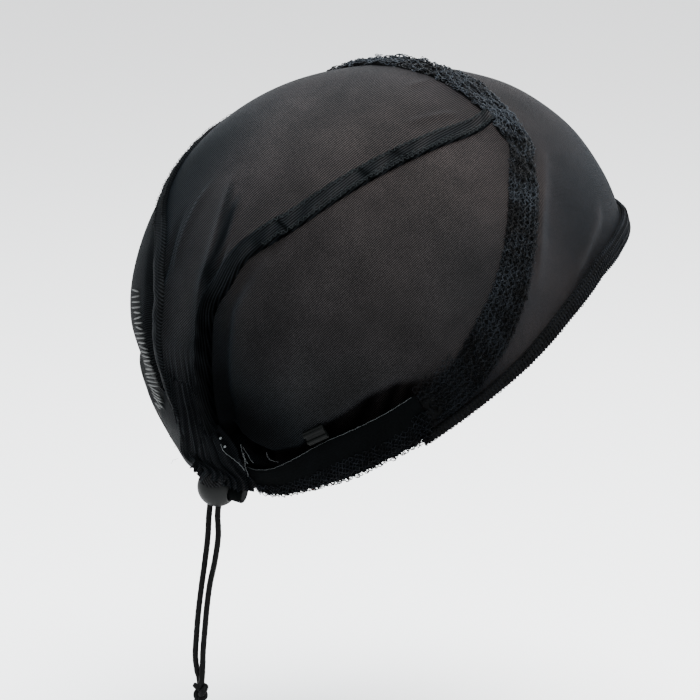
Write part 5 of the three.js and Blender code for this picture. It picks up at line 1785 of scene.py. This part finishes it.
ruffle_turn = np.radians(np.linspace(RUFFLE_FROM, RUFFLE_TO, 130))[:, None]
ruffle_share = np.linspace(0, 1, 24)[None, :]
ruffle_foot = from_table(RUFFLE_FOOT_ROWS, np.degrees(ruffle_turn))
ruffle_rise = np.radians(RUFFLE_TOP + (ruffle_foot - RUFFLE_TOP) * ruffle_share)
ruffle_out = unit(np.stack(np.broadcast_arrays(-np.sin(ruffle_turn), np.cos(ruffle_turn),
                                               np.tan(ruffle_rise)), axis=-1))
ruffle_wave = (CASING_RUFFLE * (1 + np.sin(RUFFLE_WAVES * ruffle_turn))
               + 0.00035 * np.sin(19 * ruffle_turn + 4 * ruffle_share))
ruffle_radius = LOCK_RADIUS + LAYER_GAP + 0.0003 + ruffle_wave * ruffle_share
inner = lock_centre + ruffle_out * ruffle_radius[..., None]
outer = inner + ruffle_out * FRILL_WALL
ruffle = sheet_piece("nape_frill", outer, inner, grid_uv(outer), shade=np.full(outer.shape[:2], FRILL_SHADE))
dress(ruffle, mesh_cloth, ["nape_ruffle"])
print("channel", round(travelled(casing_line)[-1], 4), "m long, frill faces", len(ruffle.data.polygons))

# %% [markdown]
# ## Cloth drawn in at the nape
#
# Where the cord pulls, the back panel runs on below its seams, falls in gathers over the channel and
# hangs as a hood on the lock. A cloth simulation could drape it. Here each column of the cloth is a
# curve through seven places that it must pass, and the gathers are waves that deepen from the panel to
# the lock.

# %% The gathered fall
FALL_COLUMNS, FALL_ROWS = 184, 110
# drop as a share, lift in mm, then how far aside it reaches at the shares of its width, in mm
FALL_SHARES = (0, 0.3, 0.6, 0.85, 1)
FALL_LEVELS = [
    (0.60, 1.0, (6.6, 3.4, -2.2, -7.6, -10.6)), (0.69, 1.1, (7.0, 3.6, -2.2, -7.0, -9.8)),
    (0.77, 1.3, (9.5, 4.6, -2.0, -7.0, -9.5)), (0.868, 3.4, (12.5, 6.0, -2.6, -9.6, -15.0)),
    (0.90, 4.6, (13.0, 6.2, -3.2, -10.6, -16.5)),
]
# share of the width, turn round the lock, rise and distance in mm half way down, and at the foot
HOOD_ROWS = [
    (0, -38, 45, 11.4, 38, 11.2), (0.17, -16, 48, 8.3, 34, 8.2), (0.33, 28, 47, 8.3, 30, 8.2),
    (0.5, 55, 41, 8.5, 21, 8.4), (0.67, 77, 30, 8.6, 9, 8.5), (0.83, 94, 19, 10.3, -1, 10.3),
    (1, 114, 13, 13.2, -1, 13.1),
]
FALL_GATHERS, FALL_HALF_WALL = 8, 0.0002
GATHER, FINE_GATHER, GATHER_SHADE_SCALE = 0.00055, 0.0002, 0.00075
FRAY, FRAYED_ROWS = 0.00045, 6

column_share = np.linspace(0, 1, FALL_COLUMNS)
places = []
for drop, lift, reach in FALL_LEVELS:
    aside = np.interp(column_share, FALL_SHARES, reach) / 1000
    level = np.column_stack([aside, np.full(FALL_COLUMNS, 0.08), np.full(FALL_COLUMNS, -drop * NAPE_DROP)])
    direction, bare = bare_head(level)
    places.append(bare + direction * (fold_height(bare) + lift / 1000)[:, None])
hood_turn = np.radians(from_table(HOOD_ROWS, column_share))
for k in (2, 4):
    rise = np.radians(from_table(HOOD_ROWS, column_share, k))
    out = np.column_stack([-np.sin(hood_turn) * np.cos(rise), np.cos(hood_turn) * np.cos(rise), np.sin(rise)])
    places.append(lock_centre + out * (from_table(HOOD_ROWS, column_share, k + 1) / 1000)[:, None])
places = np.stack(places, axis=1)
fall = np.stack([smooth_path(column, FALL_ROWS) for column in places], axis=1)
down = np.linspace(0, 1, FALL_ROWS + 1)[:, None]
direction, bare = bare_head(fall)
flat = bare.reshape(-1, 3)
least = fold_height(bare) + (crease_height(flat) + slack(flat)).reshape(bare.shape[:2])
above = -0.0003 + 0.0007 * smooth_step(0, 0.1, down)
short = least + CLOTH_OUTSIDE + above - ((fall - bare) * direction).sum(axis=-1)
short = np.where(down < 0.1, short, np.maximum(short, 0))
fall = fall + direction * (short * (1 - smooth_step(0.45, 0.6, down)))[..., None]
fall = fall + (drawn_in(fall) - fall) * (1 - smooth_step(0.6, 0.85, down))[..., None]
fall_shade = cloth_shade(bare, 0.0)

ahead = np.gradient(fall, axis=0)
sideways_on = np.gradient(fall, axis=1)
fall_out = unit(np.cross(sideways_on, ahead))
fall_out *= np.sign((fall_out * (fall - lock_centre + (0, 0, 0.004))).sum(axis=-1, keepdims=True))
phase = 2 * np.pi * FALL_GATHERS * (column_share + 0.02 * np.sin(9 * column_share))[None, :]
gather = GATHER * np.sin(phase + 1.4 * np.sin(3.1 * down)) + FINE_GATHER * np.sin(2.3 * phase + 5 * down)
pinch = 1 - 0.45 * np.exp(-(((down - 0.72) / 0.12) ** 2))
fall = fall + fall_out * (gather * smooth_step(0.0, 0.45, down) * pinch)[..., None]
frayed = FRAY * np.sin(61 * column_share + 3 * np.sin(17 * column_share))
fall[-FRAYED_ROWS:] += (unit(ahead[-FRAYED_ROWS:])
                        * (frayed[None, :] * np.linspace(0, 1, FRAYED_ROWS)[:, None])[..., None])
# painted shade: the fall is darker further down and in the hollows of its gathers, lighter on their ridges
nape_fall = sheet_piece("nape_fall", fall + FALL_HALF_WALL * fall_out, fall - FALL_HALF_WALL * fall_out,
                        cut_at(laid_flat(fall, *FLAT_LAYS["back_panel"]), CUT_TURN),
                        shade=fall_shade * (1.0 - 0.2 * down) * (1 + 0.5 * gather / GATHER_SHADE_SCALE * down))
dress(nape_fall, mesh_cloth, ["nape_ruffle"])
print("fall faces:", len(nape_fall.data.polygons))

# %% [markdown]
# ### Slack beside the nape
#
# On each side a slack gusset closes the gap between the panel's foot and the strap. It is a ruled sheet
# between two edges with a few shallow waves, as loose cloth lies when only its edges are held.

# %% Gussets
# the upper and the lower edge in shares, the lift at each in mm, and how light its painted shade is. The
# right gusset hangs behind the strap, the left one over it
GUSSETS = {
    "right": (
        [(0.435, 0.835, 0.80), (0.345, 0.86, 0.845), (0.26, 0.855, 0.86), (0.17, 0.88, 0.84),
         (0.08, 0.89, 0.845)],
        [(0.42, 0.77, 0.95), (0.30, 0.80, 0.965), (0.22, 0.82, 0.965), (0.15, 0.83, 0.945),
         (0.05, 0.84, 0.915)],
        (0.3, 0.3), 0.4),
    "left": (
        [(0.92, 0.40, 0.70), (0.83, 0.53, 0.695), (0.72, 0.64, 0.70), (0.60, 0.75, 0.74),
         (0.45, 0.84, 0.76), (0.30, 0.90, 0.77), (0.17, 0.93, 0.775), (0.08, 0.94, 0.78)],
        [(0.92, 0.405, 0.71), (0.83, 0.53, 0.77), (0.72, 0.645, 0.845), (0.60, 0.715, 0.90),
         (0.48, 0.755, 0.945), (0.36, 0.78, 0.97), (0.265, 0.80, 0.98), (0.195, 0.815, 0.972),
         (0.12, 0.83, 0.945), (0.05, 0.84, 0.915)],
        (0.95, 3.5), 0.9),
}
GUSSET_STEPS, GUSSET_ROWS = 100, 40
GUSSET_SAG, GUSSET_WAVE, LEFT_SAG = 0.0008, 0.0004, 0.35
gussets = {}
for label, side in SIDES:
    top_rows, foot_rows, lifts, tone_and_shade = GUSSETS[label]
    top = smooth_path(from_shares(top_rows, side), GUSSET_STEPS)
    foot = smooth_path(from_shares(foot_rows, side), GUSSET_STEPS)
    down = np.linspace(0, 1, GUSSET_ROWS)[:, None]
    direction, bare = bare_head(top * (1 - down[..., None]) + foot * down[..., None])
    along = np.linspace(0, 1, GUSSET_STEPS + 1)[None, :]
    wave = np.sin(2 * np.pi * (3.2 * along + 0.8 * down))
    sag = GUSSET_SAG * np.sin(np.pi * down) + GUSSET_WAVE * wave
    lift = (lifts[0] + (lifts[1] - lifts[0]) * smooth_step(0, 0.45, down)) / 1000
    height = lift - (tuck_depth(bare) + np.maximum(sag, 0)) if side < 0 else lift + LEFT_SAG * sag
    outer = drawn_in(bare + direction * height[..., None])
    inner = drawn_in(bare + direction * (height - CLOTH_THICKNESS)[..., None])
    gusset = sheet_piece(f"nape_gusset_{label}", outer, inner, grid_uv(outer),
                         shade=cloth_shade(bare, 0.0) * tone_and_shade)
    gussets[label] = dress(gusset, mesh_cloth)
print("gusset faces:", len(gussets["right"].data.polygons))

# %% [markdown]
# ## Light bars on the left
#
# Left of the back, light shows through two layers of the mesh as a ladder of pale bars, wide apart at
# the top and crowded near the nape, where they are longer. These bars are painted light: each rung is
# one long pale stitch, and its lean changes down the column.

# %% Ladder of painted light bars
LADDER_ROWS = [(0.423, 0.915, 0.525), (0.352, 0.945, 0.61), (0.316, 0.928, 0.709), (0.302, 0.887, 0.789),
               (0.333, 0.807, 0.878)]
# mm from rung to rung and degrees of lean, by the share down the ladder
LADDER_PITCHES = [(0, 2.1), (0.5, 1.6), (1, 1.35)]
LADDER_LEANS = [(0, -24), (0.3, -8), (0.6, 6), (1, 8)]
LADDER_LIFT = 0.0013

ladder_path = smooth_path(from_shares(LADDER_ROWS, 1), 400)
rungs, reached = [], 0.0
while reached < travelled(ladder_path)[-1]:
    rungs.append(reached)
    reached += from_table(LADDER_PITCHES, reached / travelled(ladder_path)[-1]) / 1000
rungs = np.array(rungs) / travelled(ladder_path)[-1]
ladder_line = on_cap(evenly(ladder_path, rungs), LADDER_LIFT * (1 + smooth_step(0.45, 0.75, rungs)))
# painted light: pale rungs for the light bars seen through the doubled mesh
ladder = beaded("pulled_threads", [ladder_line], [np.radians(from_table(LADDER_LEANS, rungs))],
                [0.95 + 0.35 * rungs], 8.3, 0.7, 9, ladder_light_thread)
print("ladder rungs:", len(rungs))

# %% [markdown]
# ## Loose threads
#
# Sewn elastic sheds a few thread ends, and the gathered edges fray. A handful of short wandering
# threads near the nape, some pale and some dark, is enough; more would look like fluff. The thread of
# the strap's edge is pulled out there as well, with a hooked end and two small knots. All are plain
# lines that the yarn tree turns into thread, and the knots are stitches of the stitch tree.

# %% Frayed ends
def wandering(start, way, length, bend, seed, steps=14):
    """A short thread that starts somewhere, sets off in a direction and curls."""
    random = np.random.default_rng(seed)
    points = [np.asarray(start, float)]
    way = unit(np.asarray(way, float))
    for _ in range(steps):
        way = unit(way + bend * random.normal(size=3))
        points.append(points[-1] + way * length / steps)
    return np.array(points)


# start in metres, direction, length in mm, how much it bends
PALE_ENDS = [
    ((-0.0176, 0.0800, -0.1180), (-0.5, -0.1, -0.7), 6.5, 0.12),
    ((-0.0170, 0.0805, -0.1172), (-0.3, -0.1, -0.9), 7.5, 0.14),
    ((-0.0178, 0.0798, -0.1200), (-0.1, 0.0, -1.0), 8.5, 0.10),
]
# the thread of the strap's edge, pulled out and up, and a hooked end beside it, in mm
PULLED_ROWS = [
    [(-17.2, 79.0, -126.3), (-16.9, 80.2, -124.6), (-14.6, 81.3, -122.6), (-12.9, 82.4, -121.2),
     (-11.8, 83.8, -119.4), (-11.5, 84.4, -117.4)],
    [(-23.2, 74.5, -119.8), (-23.6, 74.4, -121.3), (-24.9, 74.2, -122.2), (-27.4, 73.2, -122.6)],
]
PALE_KNOTS = [(-11.3, 84.3, -115.4), (-12.2, 83.2, -118.3)]
LOOSE_END = stitch(4, 0.1, 0.05, 0.2, 0.3)
DARK_ENDS = [
    ((-0.0150, 0.0820, -0.1230), (-0.5, 0.5, -0.5), 5.0, 0.4),
    ((-0.0120, 0.0850, -0.1200), (-0.2, 0.8, 0.3), 4.0, 0.5),
    ((0.0140, 0.0815, -0.1225), (0.6, 0.5, -0.4), 5.0, 0.4),
    ((0.0155, 0.0800, -0.1200), (0.8, 0.4, 0.2), 4.0, 0.5),
    ((0.0120, 0.0830, -0.1265), (0.4, 0.6, -0.7), 5.0, 0.4),
    ((-0.0300, 0.0760, -0.1150), (0.3, 0.6, 0.5), 3.5, 0.5),
]
ends = {}
for name, rows, material in (("pale_ends", PALE_ENDS, pale_thread), ("dark_ends", DARK_ENDS, yarn)):
    lines = [wandering(start, way, length / 1000, bend, seed)
             for seed, (start, way, length, bend) in enumerate(rows)]
    if material is pale_thread:
        lines += [smooth_path(np.array(row) / 1000, 24) for row in PULLED_ROWS]
    ends[name] = stitched(name, lines, LOOSE_END, 31.0, material)
ends["pale_knots"] = beaded("pale_knots", [np.array(PALE_KNOTS) / 1000], [0.4], [1.0], 1.1, 0.8, 3,
                            pale_thread)
print("loose ends:", sum(len(rows) for rows in (PALE_ENDS, DARK_ENDS, PULLED_ROWS)))

# %% [markdown]
# ## What is cloth
#
# The model's other users need to know which pieces are limp. Each panel's flat size, as it lies
# stretched, is worked out and printed, and its trims are listed with it.

trims = {
    "front_panel": [hem_ground, hem_stitches, hem_picots, hem_edging],
    "back_panel": [lace_ground_piece, lace_yarn, lace_loops, lace_chains, lace_picots, casing, ruffle,
                   nape_fall, *ends.values()],
    "side_panel_right": [*tapes["right"], *rim_laces["right"], *straps["right"], gussets["right"]],
    "side_panel_left": [*tapes["left"], *rim_laces["left"], *straps["left"], gussets["left"], ladder],
}
for name, (piece, area, outer) in panels.items():
    width = max(travelled(row)[-1] for row in outer[::8])
    length = max(area / width, travelled(outer[:, outer.shape[1] // 2])[-1])
    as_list(trims[name])
    print(f"{name}: {width:.3f} x {length:.3f} m")

# %% [markdown]
# ## Stage and light
#
# Black cloth needs large soft lights, or its weave disappears. A bright surround gives the even studio
# look. One broad lamp high on the cap's right models the dome, a second straight above brings out the
# lace at the crown, and a weak third opens the shadow side. The pale floor lies well below the knot.

# %% Floor, surround and lamps
FLOOR_LEVEL, FLOOR_HALF = -0.26, 9

floor_mesh = bpy.data.meshes.new("floor")
corners = [(x * FLOOR_HALF, y * FLOOR_HALF, FLOOR_LEVEL) for x, y in ((-1, -1), (1, -1), (1, 1), (-1, 1))]
floor_mesh.from_pydata(corners, [], [(0, 1, 2, 3)])
floor = placed("floor", floor_mesh)
floor_paint, tree, shader = blank_material("floor paint")
set_up(shader, Base_Color=(0.9, 0.9, 0.9, 1), Roughness=0.9, Specular_IOR_Level=0.1)
floor.data.materials.append(floor_paint)

world = bpy.data.worlds.new("surround")
world.use_nodes = True
world.node_tree.nodes["Background"].inputs[0].default_value = (0.97, 0.985, 1.0, 1)
world.node_tree.nodes["Background"].inputs[1].default_value = 1.9
bpy.context.scene.world = world


def lamp(name, azimuth, elevation, distance, size, power, colour):
    """A square area lamp that faces the look point."""
    light = bpy.data.lights.new(name, "AREA")
    light.size, light.energy, light.color = size, power, colour
    thing = placed(name, light)
    thing.location = around(azimuth, elevation, distance)
    thing.rotation_euler = (LOOK_POINT - thing.location).to_track_quat("-Z", "Y").to_euler()


lamp("key", 262, 66, 1.4, 1.0, 60, (1.0, 0.97, 0.94))
lamp("overhead", 226, 84, 1.3, 1.0, 44, (0.86, 0.94, 1.0))
lamp("fill", 190, 28, 1.5, 0.8, 2, (0.9, 0.95, 1.0))
print("stage ready")
